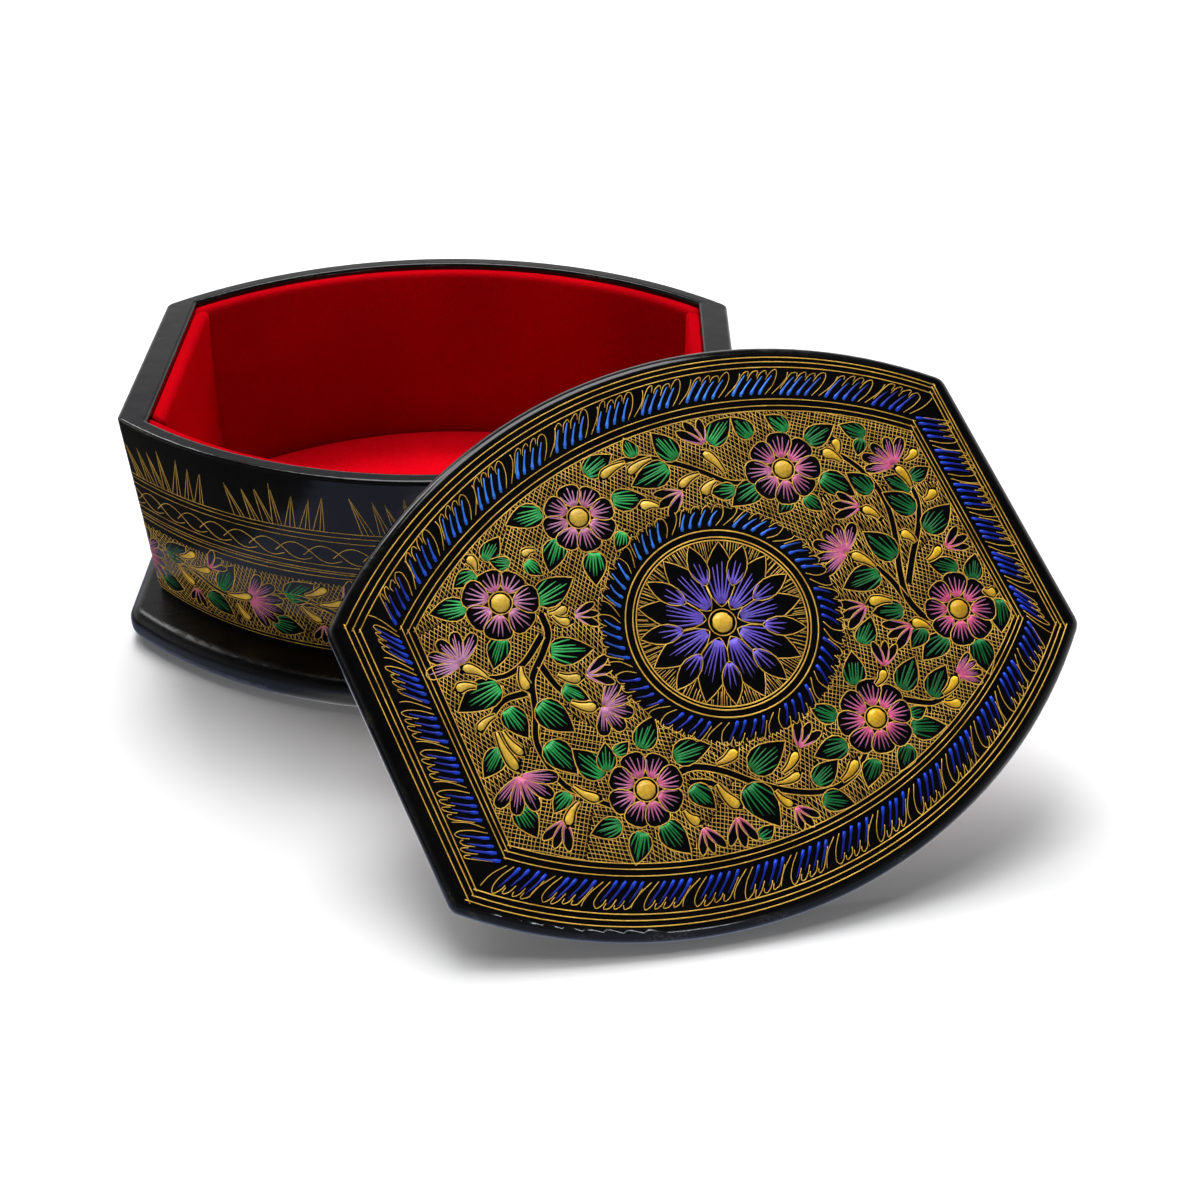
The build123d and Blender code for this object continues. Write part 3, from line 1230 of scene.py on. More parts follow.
    def feather_band(self, drawing: Drawing) -> None:
        """Draws the groups of feathers between the border lines, leaning clockwise.

        Args:
            drawing: The drawing.
        """
        for side, groups in enumerate(self.feather_groups):
            track = Track(self.face.edge(self.feather_edge, side)[::-1])
            pitch = track.length / groups
            for index in range(groups):
                lean = self.feather_lean
                if side % 2:
                    lean = self.end_lean[0] + self.end_lean[1] * (index / (groups - 1)) ** 3
                drawing.feathers(
                    track,
                    start=index * pitch + 0.5,
                    count=self.group_feathers,
                    gap=pitch * self.feather_gap,
                    lean=lean,
                    length=self.feather_length,
                )

    def rosette_centre(self, drawing: Drawing) -> None:
        """Draws the central rosette: rings, feathers round them, two rows of purple petals.

        Args:
            drawing: The drawing.
        """
        drawing.clear(drawing.circle(self.rosette, self.rosette_clearing, 48))
        for radius in self.rosette_rings:
            drawing.line(drawing.circle(self.rosette, radius, 72), half=0.2, closed=True)
        round_line = drawing.circle((0, 0), self.rosette_feathers, 96)
        clockwise = np.concatenate([round_line, round_line[:16]]) * (-1, 1) + self.rosette
        track = Track(clockwise)
        pitch = 2 * math.pi * self.rosette_feathers / self.rosette_groups
        for index in range(self.rosette_groups):
            drawing.feathers(
                track,
                start=index * pitch + 1.5,
                count=self.group_feathers,
                gap=pitch * self.rosette_feather_gap,
                lean=self.rosette_feather_lean,
                length=self.rosette_feather_length,
            )
        self.rosette_petals(drawing)
        drawing.boss(self.rosette, self.rosette_boss)
        drawing.line(drawing.circle(self.rosette, self.rosette_boss + 1.0, 28), closed=True)

    def rosette_petals(self, drawing: Drawing) -> None:
        """Draws the rosette's pointed petals, the ones between them and the hatched ground.

        Args:
            drawing: The drawing.
        """
        middle = np.array(self.rosette)
        inner = self.rosette_rings[0]
        ways = np.radians(self.petal_ways)
        between = (ways + np.append(ways[1:], ways[0] + 2 * np.pi)) / 2
        shade = Ground(tuple(middle - inner), tuple(middle + inner))
        shade.fill(drawing.circle(self.rosette, inner - 0.4, 48), 0)
        kept, drawing.ground = drawing.ground, shade

        rows = (
            (ways, self.inner_petal, 6, (0.5, 0.72)),
            (between, self.outer_petal, 4, (0.4, 0.68)),
        )
        for angles, (base, tip, width), hairs, reach in rows:
            for angle in angles:
                way = np.array([math.cos(angle), math.sin(angle)])
                ends = middle + base * way, middle + tip * way
                drawing.petal(*ends, width, POINTED_PETAL, Paint.PURPLE, hairs, reach=reach)
        for angle in np.arange(0, 2 * np.pi, math.radians(1.9)):
            lean = angle + drawing.jitter(0.015)
            steps = np.arange(inner - 0.3, 13, -0.3)
            points = middle + steps[:, None] * np.array([math.cos(lean), math.sin(lean)])
            free = shade.at(points) == 0
            count = int(np.argmin(free[1:])) + 1 if not free[1:].all() else len(free)
            length = int(count * drawing.random.uniform(0.7, 1.0))
            if length >= 3:
                drawing.stroke(Paint.NET, points[[0, length // 2, length - 1]], drawing.net_half)
        drawing.ground = kept

    def field(self, drawing: Drawing) -> None:
        """Keeps the field's ground for the net, and draws its stems, leaves, flowers and drops.

        Args:
            drawing: The drawing.
        """
        edges = [self.face.edge(self.field_edge, side) for side in range(4)]
        drawing.ground.fill(np.concatenate(edges), 0)
        tilt = math.radians(self.field_turn)

        def turned(x: float, y: float) -> Point:
            """Place on the lid of a point of the field."""
            return x + tilt * y, y - tilt * x

        for points in self.stems:
            drawing.stem([turned(*point) for point in points])
        for x0, y0, x1, y1 in self.leaves:
            drawing.leaf(turned(x0, y0), turned(x1, y1), bow=drawing.jitter(0.6))
        for x, y, radius, start, end, petals in self.fans:
            drawing.fan(turned(x, y), radius, start, end, petals)
        for x, y, direction, length in self.buds:
            drawing.bud(turned(x, y), direction, length)
        for x, y, radius, petals, turn in self.flowers:
            drawing.flower(turned(x, y), radius, petals, turn)
        for x0, y0, x1, y1, size in self.drops:
            drawing.drop(turned(x0, y0), turned(x1, y1), size)

    def draw(self) -> Drawing:
        """Draws the whole ornament.

        Returns:
            The drawing, in the lid's own millimetres.
        """
        drawing = Drawing(Ground((-90, -75), (90, 75)), np.random.default_rng(11))
        self.field(drawing)
        self.rosette_centre(drawing)
        self.border(drawing)
        self.feather_band(drawing)
        seeds = drawing.random.uniform((-84, -62), (84, 62), (self.net_patches, 2))
        angles = [(drawing.random.uniform(50, 82), drawing.random.uniform(105, 150)) for _ in seeds]
        drawing.net(self.net_pitch, seeds, angles)
        return drawing


# Ornament of the walls


@dataclass
class WallOrnament:
    """Ornament round the walls: reeds over a plaited band over a band of flowers on a net."""

    face: WallFace
    reed_foot: float = 52.4
    # Middle of one group of reeds, and the foot, tip and top of each of its reeds
    reed_middle: float = -47.5
    reed_tips: tuple[tuple[float, float, float], ...] = (
        (-13.0, -17.7, 66.0),
        (-7.5, -11.1, 65.3),
        (-2.5, -6.5, 65.8),
        (0.6, -0.8, 68.4),
        (5.0, 7.0, 66.6),
        (10.0, 12.2, 65.4),
        (14.5, 17.2, 65.8),
    )
    reed_groups: int = 14
    line_levels: tuple[float, ...] = (52.4, 50.8, 48.6, 38.6, 36.3, 35.3, 33.6, 3.0, 1.7)
    line_half: float = 0.11
    plait: tuple[float, float] = (39.8, 46.4)
    plait_strands: int = 62
    plait_half: float = 0.13
    band: tuple[float, float] = (3.2, 31.0)
    flower_units: int = 12
    flower_half: float = 0.12
    net_pitch: float = 1.4
    net_patches: int = 34
    net_half: float = 0.09
    # Where the drawing starts and ends, at the corner of the left end and the back
    seam: float = -200.0

    def reeds(self, drawing: Drawing) -> None:
        """Draws the groups of reeds, each reed a thin fan of lines that meet at its tip.

        Args:
            drawing: The drawing.
        """
        pitch = self.face.girth / self.reed_groups
        for group in range(self.reed_groups):
            middle = self.reed_middle + group * pitch
            for foot, tip, top in self.reed_tips:
                apex = np.array([middle + tip + drawing.jitter(0.4), top + drawing.jitter(1.0)])
                for offset in (-1.9, 0.1, 1.6):
                    low = np.array([middle + foot + offset + drawing.jitter(0.4), self.reed_foot])
                    high = low + (apex - low) * drawing.random.uniform(0.84, 1.02)
                    share = np.linspace(0, 1, 4)[:, None]
                    path = low + (high - low) * share
                    drawing.stroke(Paint.LINE, path, np.array([0.09, 0.1, 0.09, 0.05]))

    def plaited_band(self, drawing: Drawing) -> None:
        """Draws the plait as overlapping S-shaped strands.

        Args:
            drawing: The drawing.
        """
        pitch = self.face.girth / self.plait_strands
        low, high = self.plait
        for index in range(self.plait_strands):
            start = index * pitch
            ways = (0, 0.35, 0.7, 1.1, 1.6, 1.95, 2.3)
            ups = (low + 2.0, high - 1.2, high, high - 1.6, low + 0.7, low, low + 1.3)
            knots = [(start + way * pitch, up) for way, up in zip(ways, ups)]
            drawing.line(smooth_line(knots, 1.2), half=self.plait_half)

    def flower_unit(self, drawing: Drawing, at: float) -> None:
        """Draws one repeat of the flower band.

        Args:
            drawing: The drawing.
            at: Place of the repeat along the walls.
        """
        stems = (
            ((-3, 21.5), (5, 22.7), (14, 19.5), (22, 16), (30, 15.4), (36, 17.5)),
            ((48.5, 22.5), (45, 23.2), (41, 21), (37, 18)),
            ((14, 19.5), (8.5, 20.2), (4, 18.5)),
        )
        for points in stems:
            drawing.stem([(x + at, y) for x, y in points], 1.0, 0.7)
        leaves = (
            ((51, 21), (61.5, 29.8), 9.5),
            ((24, 16.2), (32, 30), 7.0),
            ((17.5, 12.5), (28, 6), 9.0),
            ((43.5, 9.5), (56, 8), 9.5),
        )
        for base, tip, width in leaves:
            drawing.leaf((base[0] + at, base[1]), (tip[0] + at, tip[1]), width, drawing.jitter(0.5))
        drawing.fan((at + 36, 17.3), 13.0, -78, 76, 6)
        drawing.bud((at + 20.5, 25.0), 42, 8.5)
        drawing.bud((at + 12.5, 12.0), 264, 8.0)
        drops = (
            ((14.5, 28.6), (7.0, 24.0), 1.05),
            ((20.5, 23.6), (12.0, 21.3), 1.0),
            ((11.5, 13.8), (5.0, 19.0), 1.0),
            ((34.5, 7.0), (30.5, 12.6), 1.1),
            ((36.5, 18.0), (27.0, 15.6), 1.05),
        )
        for blob, tail, size in drops:
            drawing.drop((blob[0] + at, blob[1]), (tail[0] + at, tail[1]), size)

    def draw(self) -> Drawing:
        """Draws the whole ornament.

        Returns:
            The drawing, unrolled along the walls.
        """
        girth = self.face.girth
        start, end = self.seam, self.seam + girth
        ground = Ground((start - 10, 0), (end + 20, 40))
        drawing = Drawing(ground, np.random.default_rng(23), self.flower_half, self.net_half)
        low, high = self.band
        drawing.ground.fill(np.array([(start, low), (end, low), (end, high), (start, high)]), 0)
        pitch = girth / self.flower_units
        for index in range(self.flower_units):
            self.flower_unit(drawing, start + index * pitch)
        self.reeds(drawing)
        self.plaited_band(drawing)
        for level in self.line_levels:
            along = np.arange(0, girth, 2.5)
            sway = 0.12 * np.sin(along * 2 * np.pi * 5 / girth + level)
            drawing.line(np.column_stack([along, level + sway]), self.line_half, closed=True)
        heights = drawing.random.uniform(low, high, self.net_patches)
        seeds = np.column_stack([np.linspace(start, end, self.net_patches), heights])
        angles = [(drawing.random.uniform(50, 80), drawing.random.uniform(105, 150)) for _ in seeds]
        drawing.net(self.net_pitch, seeds, angles)
        return drawing


# Soft pieces


def ring_form(name: str, rings: Sequence[np.ndarray]) -> bpy.types.Mesh:
    """Closed form through rings of points that follow one another, its two ends filled.

    Args:
        name: Name of the mesh.
        rings: Rings with the same number of points each, in millimetres.

    Returns:
        The mesh, in metres, its faces outwards.
    """
    count, levels = len(rings[0]), len(rings) - 1
    shape = bmesh.new()
    bmesh.ops.create_grid(shape, x_segments=count, y_segments=levels, size=1.0)
    for vertex in shape.verts:
        index = round((vertex.co.x + 1) / 2 * count) % count
        level = round((vertex.co.y + 1) / 2 * levels)
        vertex.co = Vector(rings[level][index]) * MM
    bmesh.ops.remove_doubles(shape, verts=shape.verts, dist=1e-7)
    open_edges = [edge for edge in shape.edges if edge.is_boundary]
    if open_edges:
        bmesh.ops.holes_fill(shape, edges=open_edges, sides=0)
    bmesh.ops.recalc_face_normals(shape, faces=shape.faces)
    mesh = bpy.data.meshes.new(name)
    shape.to_mesh(mesh)
    shape.free()
    return mesh


def rounding(radius: float, steps: int) -> list[Point]:
    """Insets and drops along a quarter round, from the side up to the top."""
    angles = np.linspace(0, np.pi / 2, steps)
    return [(radius * (1 - math.cos(a)), radius * (1 - math.sin(a))) for a in angles]


def at_level(flat: np.ndarray, level: float) -> np.ndarray:
    """Points of a plan set at a level."""
    return np.column_stack([flat, np.full(len(flat), level)])


def crowned(edge: np.ndarray, rise: float, steps: int) -> list[np.ndarray]:
    """Rings from a pad's edge to its middle, over a slight crown.

    Args:
        edge: The ring at the edge.
        rise: How far the middle stands above the edge, or below it where negative.
        steps: Number of rings.

    Returns:
        The rings, the last of them a point.
    """
    rings = []
    for share in np.linspace(0.97, 0.0, steps):
        ring = edge * np.array([share, share, 1])
        ring[:, 2] += rise * (1 - share**6)
        rings.append(ring)
    return rings


@dataclass
class Lining:
    """Velvet of the box: four padded boards on the walls and the floor pad."""

    plan: BoxPlan
    walls: WallFace
    end_wall: float = 10.0
    side_wall: float = 5.5
    depth: float = 4.3
    card_depth: float = 1.5
    top_round: float = 2.2
    back_round: float = 0.6
    seam: float = 0.12
    fullness: float = 0.35
    floor_gap: float = 0.3
    floor_corner: float = 1.5
    floor_round: float = 2.0
    floor_rise: float = 0.35
    levels: tuple[float, float] = field(init=False)

    def __post_init__(self) -> None:
        """Takes the velvet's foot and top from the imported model."""
        self.levels = levels("front_velvet")

    def profile(self) -> list[Point]:
        """Closed section of a wall's velvet.

        Returns:
            Depth from the wall and level of each point, from the foot up.
        """
        low, high = self.levels
        faces = [(self.depth, level) for level in np.linspace(low, high - self.top_round, 14)]
        top = [(self.depth - inset, high - drop) for inset, drop in rounding(self.top_round, 7)[1:]]
        back = [(inset, high - drop) for inset, drop in reversed(rounding(self.back_round, 4))]
        card_top = high - self.depth + self.card_depth
        inside = [(0.0, card_top), (self.card_depth, card_top), (self.card_depth, low)]
        return faces + top + back + inside

    def fuller(self, depth: float, level: float, share: float) -> float:
        """Depth with the face's padding added.

        Args:
            depth: Depth of a point from the wall.
            level: Its level.
            share: Its share of the way along the wall.

        Returns:
            The depth, unchanged behind the face.
        """
        low, high = self.levels
        if depth < self.depth - 1e-6:
            return depth
        height = (level - low) / (high - low)
        ends = min(1.0, 8 * min(share, 1 - share))
        return depth + self.fullness * math.sin(math.pi * min(1, height)) * ends

    def wall_insets(self, level: float) -> Point:
        """Insets of the inner faces of the end and side walls at a level."""
        drop = 1 - (level - self.walls.foot_level) / self.walls.height
        return self.end_wall + self.walls.end_flare * drop, self.side_wall + self.walls.side_flare * drop

    def board(
        self, name: str, sections: int, spot: Callable[[float, Point, float], Point]
    ) -> bpy.types.Mesh:
        """Velvet of one wall, through sections along it.

        Args:
            name: Name of the mesh.
            sections: Number of sections.
            spot: Place of a point, by its share of the way along, the walls' insets at its level
                and its depth from the wall.

        Returns:
            The mesh.
        """
        rings = []
        for share in np.linspace(0, 1, sections):
            ring = []
            for depth, level in self.profile():
                full = self.fuller(depth, level, share)
                ring.append((*spot(2 * share - 1, self.wall_insets(level), full), level))
            rings.append(np.array(ring))
        return ring_form(name, rings)

    def side_board(self, name: str, sign: float) -> bpy.types.Mesh:
        """Velvet of a bowed wall: sign is -1 for the front and 1 for the back.

        Args:
            name: Name of the mesh.
            sign: The wall's side.

        Returns:
            The mesh.
        """

        def spot(along: float, insets: Point, depth: float) -> Point:
            """Place of a point, at -1 to 1 along the wall."""
            x = (self.plan.half_length(insets[0]) - self.seam) * along
            return x, sign * float(self.plan.side_at(x, insets[1] + depth + self.seam))

        return self.board(name, 61, spot)

    def end_board(self, name: str, sign: float) -> bpy.types.Mesh:
        """Velvet of an end wall: sign is -1 for the left and 1 for the right.

        Args:
            name: Name of the mesh.
            sign: The wall's side.

        Returns:
            The mesh.
        """

        def spot(along: float, insets: Point, depth: float) -> Point:
            """Place of a point, at -1 to 1 along the wall."""
            x = self.plan.half_length(insets[0] + depth) - self.seam
            return sign * x, along * float(self.plan.side_at(x, insets[1] + self.depth + 2 * self.seam))

        return self.board(name, 25, spot)

    def floor_pad(self) -> bpy.types.Mesh:
        """Floor pad with a round edge and a slight crown.

        Returns:
            The mesh.
        """
        low, high = levels("floor_velvet")
        counts = (64, 4, 24)

        def ring(inset: float, level: float) -> np.ndarray:
            """Outline of the pad moved in, at a level."""
            insets = (wall + self.depth + self.floor_gap + inset for wall in self.wall_insets(level))
            return at_level(self.plan.outline(*insets, self.floor_corner, counts), level)

        rings = [ring(0, low), ring(0, high - self.floor_round)]
        rings += [ring(inset, high - drop) for inset, drop in rounding(self.floor_round, 6)[1:]]
        rings += crowned(ring(self.floor_round, high), self.floor_rise, 12)
        return ring_form("floor_velvet_pad", rings)

    def build(self, velvet: bpy.types.Material, floor_velvet: bpy.types.Material) -> None:
        """Builds and dresses the velvet pieces.

        Args:
            velvet: Material of the velvet on the walls.
            floor_velvet: Material of the velvet on the floor, painted lighter than the walls' velvet for
                the light that falls on it from above.
        """
        boards = {
            "front": self.side_board("front_velvet_board", -1),
            "back": self.side_board("back_velvet_board", 1),
            "left_end": self.end_board("left_end_velvet_board", -1),
            "right_end": self.end_board("right_end_velvet_board", 1),
        }
        for side, mesh in boards.items():
            piece = show_piece(f"{side}_velvet_board", mesh, velvet, "box")
            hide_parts(f"{side}_velvet")
        pad = show_piece("floor_velvet_pad", self.floor_pad(), floor_velvet, "box")
        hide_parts("floor_velvet")


@dataclass
class LidCover:
    """Velvet over the board under the lid, which fits the mouth of the box."""

    face: LidFace
    end_inset: float = 17.3
    side_inset: float = 13.4
    corner: float = 4.0
    edge_round: float = 0.8
    drop: float = 2.4
    seam: float = 0.02
    rise: float = 0.12

    def build(self, velvet: bpy.types.Material) -> None:
        """Builds and dresses the cover.

        Args:
            velvet: Material of the velvet.
        """
        counts = (64, 6, 24)

        def ring(inset: float, level: float) -> np.ndarray:
            """Outline of the cover moved in, at a level under the lid."""
            insets = self.end_inset + inset, self.side_inset + inset
            return at_level(self.face.plan.outline(*insets, self.corner - inset, counts), level)

        rings = [ring(1.0, -self.seam), ring(0, -self.seam), ring(0, self.edge_round - self.drop)]
        rings += [ring(inset, down - self.drop) for inset, down in rounding(self.edge_round, 5)[1:]]
        rings += crowned(ring(self.edge_round, -self.drop), -self.rise, 10)
        matrix = np.array(self.face.place)
        turned = [points @ matrix[:3, :3].T + matrix[:3, 3] for points in rings]
        cover = ring_form("lid_velvet_cover", turned)
        piece = show_piece("lid_velvet_cover", cover, velvet, "lid")
        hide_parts("lid_velvet")


@dataclass
class BaseFelt:
    """Felt under the plinth."""

    plan: BoxPlan
    side_inset: float = 1.0
    corner: float = 10.0

    def build(self, felt: bpy.types.Material) -> None:
        """Builds and dresses the felt.

        Args:
            felt: Material of the felt.
        """
        low, high = levels("plinth_felt")
        counts = (72, 8, 24)

        def ring(inset: float, level: float) -> np.ndarray:
            """Slightly uneven outline of the felt moved in, at a level."""
            flat = self.plan.outline(inset, self.side_inset + inset, self.corner, counts)
            return at_level(flat * (1 - 0.0012 * np.sin(np.arange(len(flat)) * 2.1)[:, None]), level)

        edge = (0.25, low), (0.05, low + 0.2), (0.05, high - 0.2), (0.25, high)
        mesh = ring_form("base_felt_sheet", [ring(inset, level) for inset, level in edge])
        piece = show_piece("base_felt_sheet", mesh, felt, "box")
        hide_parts("plinth_felt")


# Finishes


class Tree:
    """Node tree being filled."""

    def __init__(self, tree: bpy.types.NodeTree) -> None:
        """Keeps the tree."""
        self.tree = tree

    def add(
        self, kind: str, inputs: dict[str | int, object] | None = None, **settings: object
    ) -> bpy.types.Node:
        """Adds a node.

        Args:
            kind: The node's type, without its first word.
            inputs: Value or socket for each input, by name or number.
            settings: Other settings of the node.

        Returns:
            The node.
        """
        node = self.tree.nodes.new("ShaderNode" + kind)
        for name, value in settings.items():
            setattr(node, name, value)
        self.fill(node, inputs or {})
        return node

    def fill(self, node: bpy.types.Node, inputs: dict[str | int, object]) -> None:
        """Gives a node's inputs, by name or number, their values or sockets."""
        for name, value in inputs.items():
            self.feed(node.inputs[name], value)

    def feed(self, socket: Socket, value: object) -> None:
        """Links a socket to an input, or sets the input's own value.

        Args:
            socket: The input.
            value: Socket or value.
        """
        if isinstance(value, Socket):
            self.tree.links.new(value, socket)
        else:
            socket.default_value = value

    def place(self) -> Socket:
        """Object coordinates."""
        return self.add("TexCoord").outputs["Object"]

    def noise(self, scale: float | Socket, detail: float = 3.0, roughness: float = 0.55) -> Socket:
        """Noise over the object, from 0 to 1."""
        inputs = {"Vector": self.place(), "Scale": scale, "Detail": detail, "Roughness": roughness}
        return self.add("TexNoise", inputs).outputs["Fac"]

    def ramp(self, value: Socket, stops: Sequence[tuple[float, Colour]]) -> Socket:
        """Colours over a value, blended between the stops.

        Args:
            value: The value.
            stops: Position and colour of each stop.

        Returns:
            The colour.
        """
        node = self.add("ValToRGB", {"Fac": value})
        band = node.color_ramp.elements
        while len(band) < len(stops):
            band.new(0.5)
        for element, (position, colour) in zip(band, stops):
            element.position, element.color = position, colour
        return node.outputs["Color"]

    def spread(
        self, value: Socket, low: float, high: float, to_low: float = 0.0, to_high: float = 1.0
    ) -> Socket:
        """A value from one range brought to another, held within it."""
        ranges = {"From Min": low, "From Max": high, "To Min": to_low, "To Max": to_high}
        return self.add("MapRange", {"Value": value, **ranges}).outputs["Result"]

    def mix(self, share: Socket | float, first: Socket | Colour, second: Socket | Colour) -> Socket:
        """Two colours mixed."""
        node = self.add("Mix", {0: share, 6: first, 7: second}, data_type="RGBA")
        return node.outputs[2]

    def math(self, operation: str, first: Socket | float, second: Socket | float = 0.0) -> Socket:
        """Two values put through one operation."""
        return self.add("Math", {0: first, 1: second}, operation=operation).outputs[0]

    def times(self, first: Socket | float, second: Socket | float) -> Socket:
        """Two values multiplied."""
        return self.math("MULTIPLY", first, second)

    def bump(self, height: Socket, strength: float, distance: float) -> Socket:
        """Normal of a surface with a height over it."""
        inputs = {"Height": height, "Strength": strength, "Distance": distance}
        return self.add("Bump", inputs).outputs["Normal"]


def group(
    name: str, inputs: dict[str, float], outputs: dict[str, str]
) -> tuple[Tree, dict[str, Socket], bpy.types.Node]:
    """Starts a shared effect.

    Args:
        name: Name of the group.
        inputs: Its inputs with their values.
        outputs: Its outputs with their socket types.

    Returns:
        The tree, its input sockets by name and the node that its outputs go to.
    """
    made = bpy.data.node_groups.new(name, "ShaderNodeTree")
    for label, value in inputs.items():
        socket = made.interface.new_socket(label, in_out="INPUT", socket_type="NodeSocketFloat")
        socket.default_value = value
    for label, kind in outputs.items():
        made.interface.new_socket(label, in_out="OUTPUT", socket_type=kind)
    start = made.nodes.new("NodeGroupInput")
    end = made.nodes.new("NodeGroupOutput")
    return Tree(made), {label: start.outputs[label] for label in inputs}, end


class Effects:
    """Effects that several finishes share, each a node group."""

    def __init__(self) -> None:
        """Builds the groups."""
        self.mottle = self.build_mottle()
        self.wear = self.build_wear()

    def tone(self, tree: Tree, broad: float, fine: float) -> Socket:
        """Mottled tone in a material, by the scales of its two noises."""
        node = tree.add("Group", {"Broad": broad, "Fine": fine}, node_tree=self.mottle)
        return node.outputs["Tone"]

    @staticmethod
    def build_mottle() -> bpy.types.NodeTree:
        """Builds an uneven tone at two scales: a broad one, and a fine one over it.

        Returns:
            The group's tree.
        """
        tree, values, end = group(
            "mottle", {"Broad": 40.0, "Fine": 600.0, "Balance": 0.5}, {"Tone": "NodeSocketFloat"}
        )
        broad = tree.noise(values["Broad"], 2.0)
        fine = tree.noise(values["Fine"], 4.0, 0.65)
        mixed = tree.add("Mix", {"Factor": values["Balance"], "A": broad, "B": fine})
        tree.feed(end.inputs["Tone"], mixed.outputs["Result"])
        return tree.tree

    @staticmethod
    def build_wear() -> bpy.types.NodeTree:
        """Builds rubbed places: where a rounded edge turns away from a face, broken up by noise.

        Returns:
            The group's tree.
        """
        tree, values, end = group(
            "rubbed_edge",
            {"Face X": 0.0, "Face Y": 0.0, "Face Z": 1.0, "Amount": 0.5},
            {"Mask": "NodeSocketFloat"},
        )
        axis = tree.add("CombineXYZ", {label: values[f"Face {label}"] for label in "XYZ"})
        normal = tree.add("NewGeometry").outputs["Normal"]
        both = {0: axis.outputs[0], 1: normal}
        turned = tree.add("VectorMath", both, operation="DOT_PRODUCT").outputs["Value"]
        edge = tree.times(tree.spread(turned, 0.05, 0.45), tree.spread(turned, 0.75, 0.97, 1, 0))
        patchy = tree.spread(tree.noise(55.0, 2.0), 0.56, 0.72)
        scratched = tree.spread(tree.noise(900.0, 4.0, 0.7), 0.45, 0.62)
        mask = tree.times(tree.times(edge, tree.times(patchy, scratched)), values["Amount"])
        tree.feed(end.inputs["Mask"], mask)
        return tree.tree


def new_material(name: str) -> tuple[bpy.types.Material, Tree, bpy.types.Node]:
    """Starts a material.

    Args:
        name: Name of the material.

    Returns:
        The material, its tree and its main shader.
    """
    material = bpy.data.materials.new(name)
    material.use_nodes = True
    tree = Tree(material.node_tree)
    return material, tree, material.node_tree.nodes["Principled BSDF"]


@dataclass(frozen=True)
class LacquerFinish:
    """Glossy black lacquer with faint waves, smudges and rubbed edges."""

    effects: Effects
    face: tuple[float, float, float] = (0.0, 0.0, 1.0)
    black: Colour = screen_colour(7, 7, 8)
    brown_black: Colour = screen_colour(13, 12, 11)
    rubbed: Colour = screen_colour(128, 122, 108)
    wear: float = 0.25
    roughness: Point = (0.08, 0.17)
    waviness: float = 0.22

    def make(self, name: str) -> bpy.types.Material:
        """Makes the material.

        Args:
            name: Name of the material.

        Returns:
            The material.
        """
        material, tree, shader = new_material(name)
        tone = self.effects.tone(tree, 28.0, 420.0)
        inputs = dict(zip(("Face X", "Face Y", "Face Z", "Amount"), (*self.face, self.wear)))
        mask = tree.add("Group", inputs, node_tree=self.effects.wear).outputs["Mask"]
        ground = tree.mix(tree.spread(tone, 0.4, 0.65), self.black, self.brown_black)
        tree.feed(shader.inputs["Base Color"], tree.mix(mask, ground, self.rubbed))
        gloss = tree.spread(tone, 0.35, 0.7, *self.roughness)
        tree.feed(shader.inputs["Roughness"], tree.math("ADD", gloss, tree.times(mask, 0.35)))
        shader.inputs["Specular IOR Level"].default_value = 0.36
        specks = tree.times(tree.noise(1500.0, 2.0), 0.05)
        waves = tree.math("ADD", tree.noise(90.0, 2.0), specks)
        tree.feed(shader.inputs["Normal"], tree.bump(waves, self.waviness, 0.0005))
        return material


@dataclass(frozen=True)
class GoldFinish:
    """Gold paint in the scratched lines, granular and uneven."""

    effects: Effects
    deep: Colour
    bright: Colour
    metallic: float = 0.1

    def make(self, name: str) -> bpy.types.Material:
        """Makes the material.

        Args:
            name: Name of the material.

        Returns:
            The material.
        """
        material, tree, shader = new_material(name)
        tone = self.effects.tone(tree, 120.0, 1600.0)
        gold = tree.ramp(tone, [(0.34, self.deep), (0.62, self.bright)])
        tree.feed(shader.inputs["Base Color"], gold)
        tree.feed(shader.inputs["Roughness"], tree.spread(tone, 0.3, 0.7, 0.52, 0.36))
        shader.inputs["Metallic"].default_value = self.metallic
        tree.feed(shader.inputs["Normal"], tree.bump(tree.noise(2600.0, 2.0), 0.3, 0.0001))
        return material


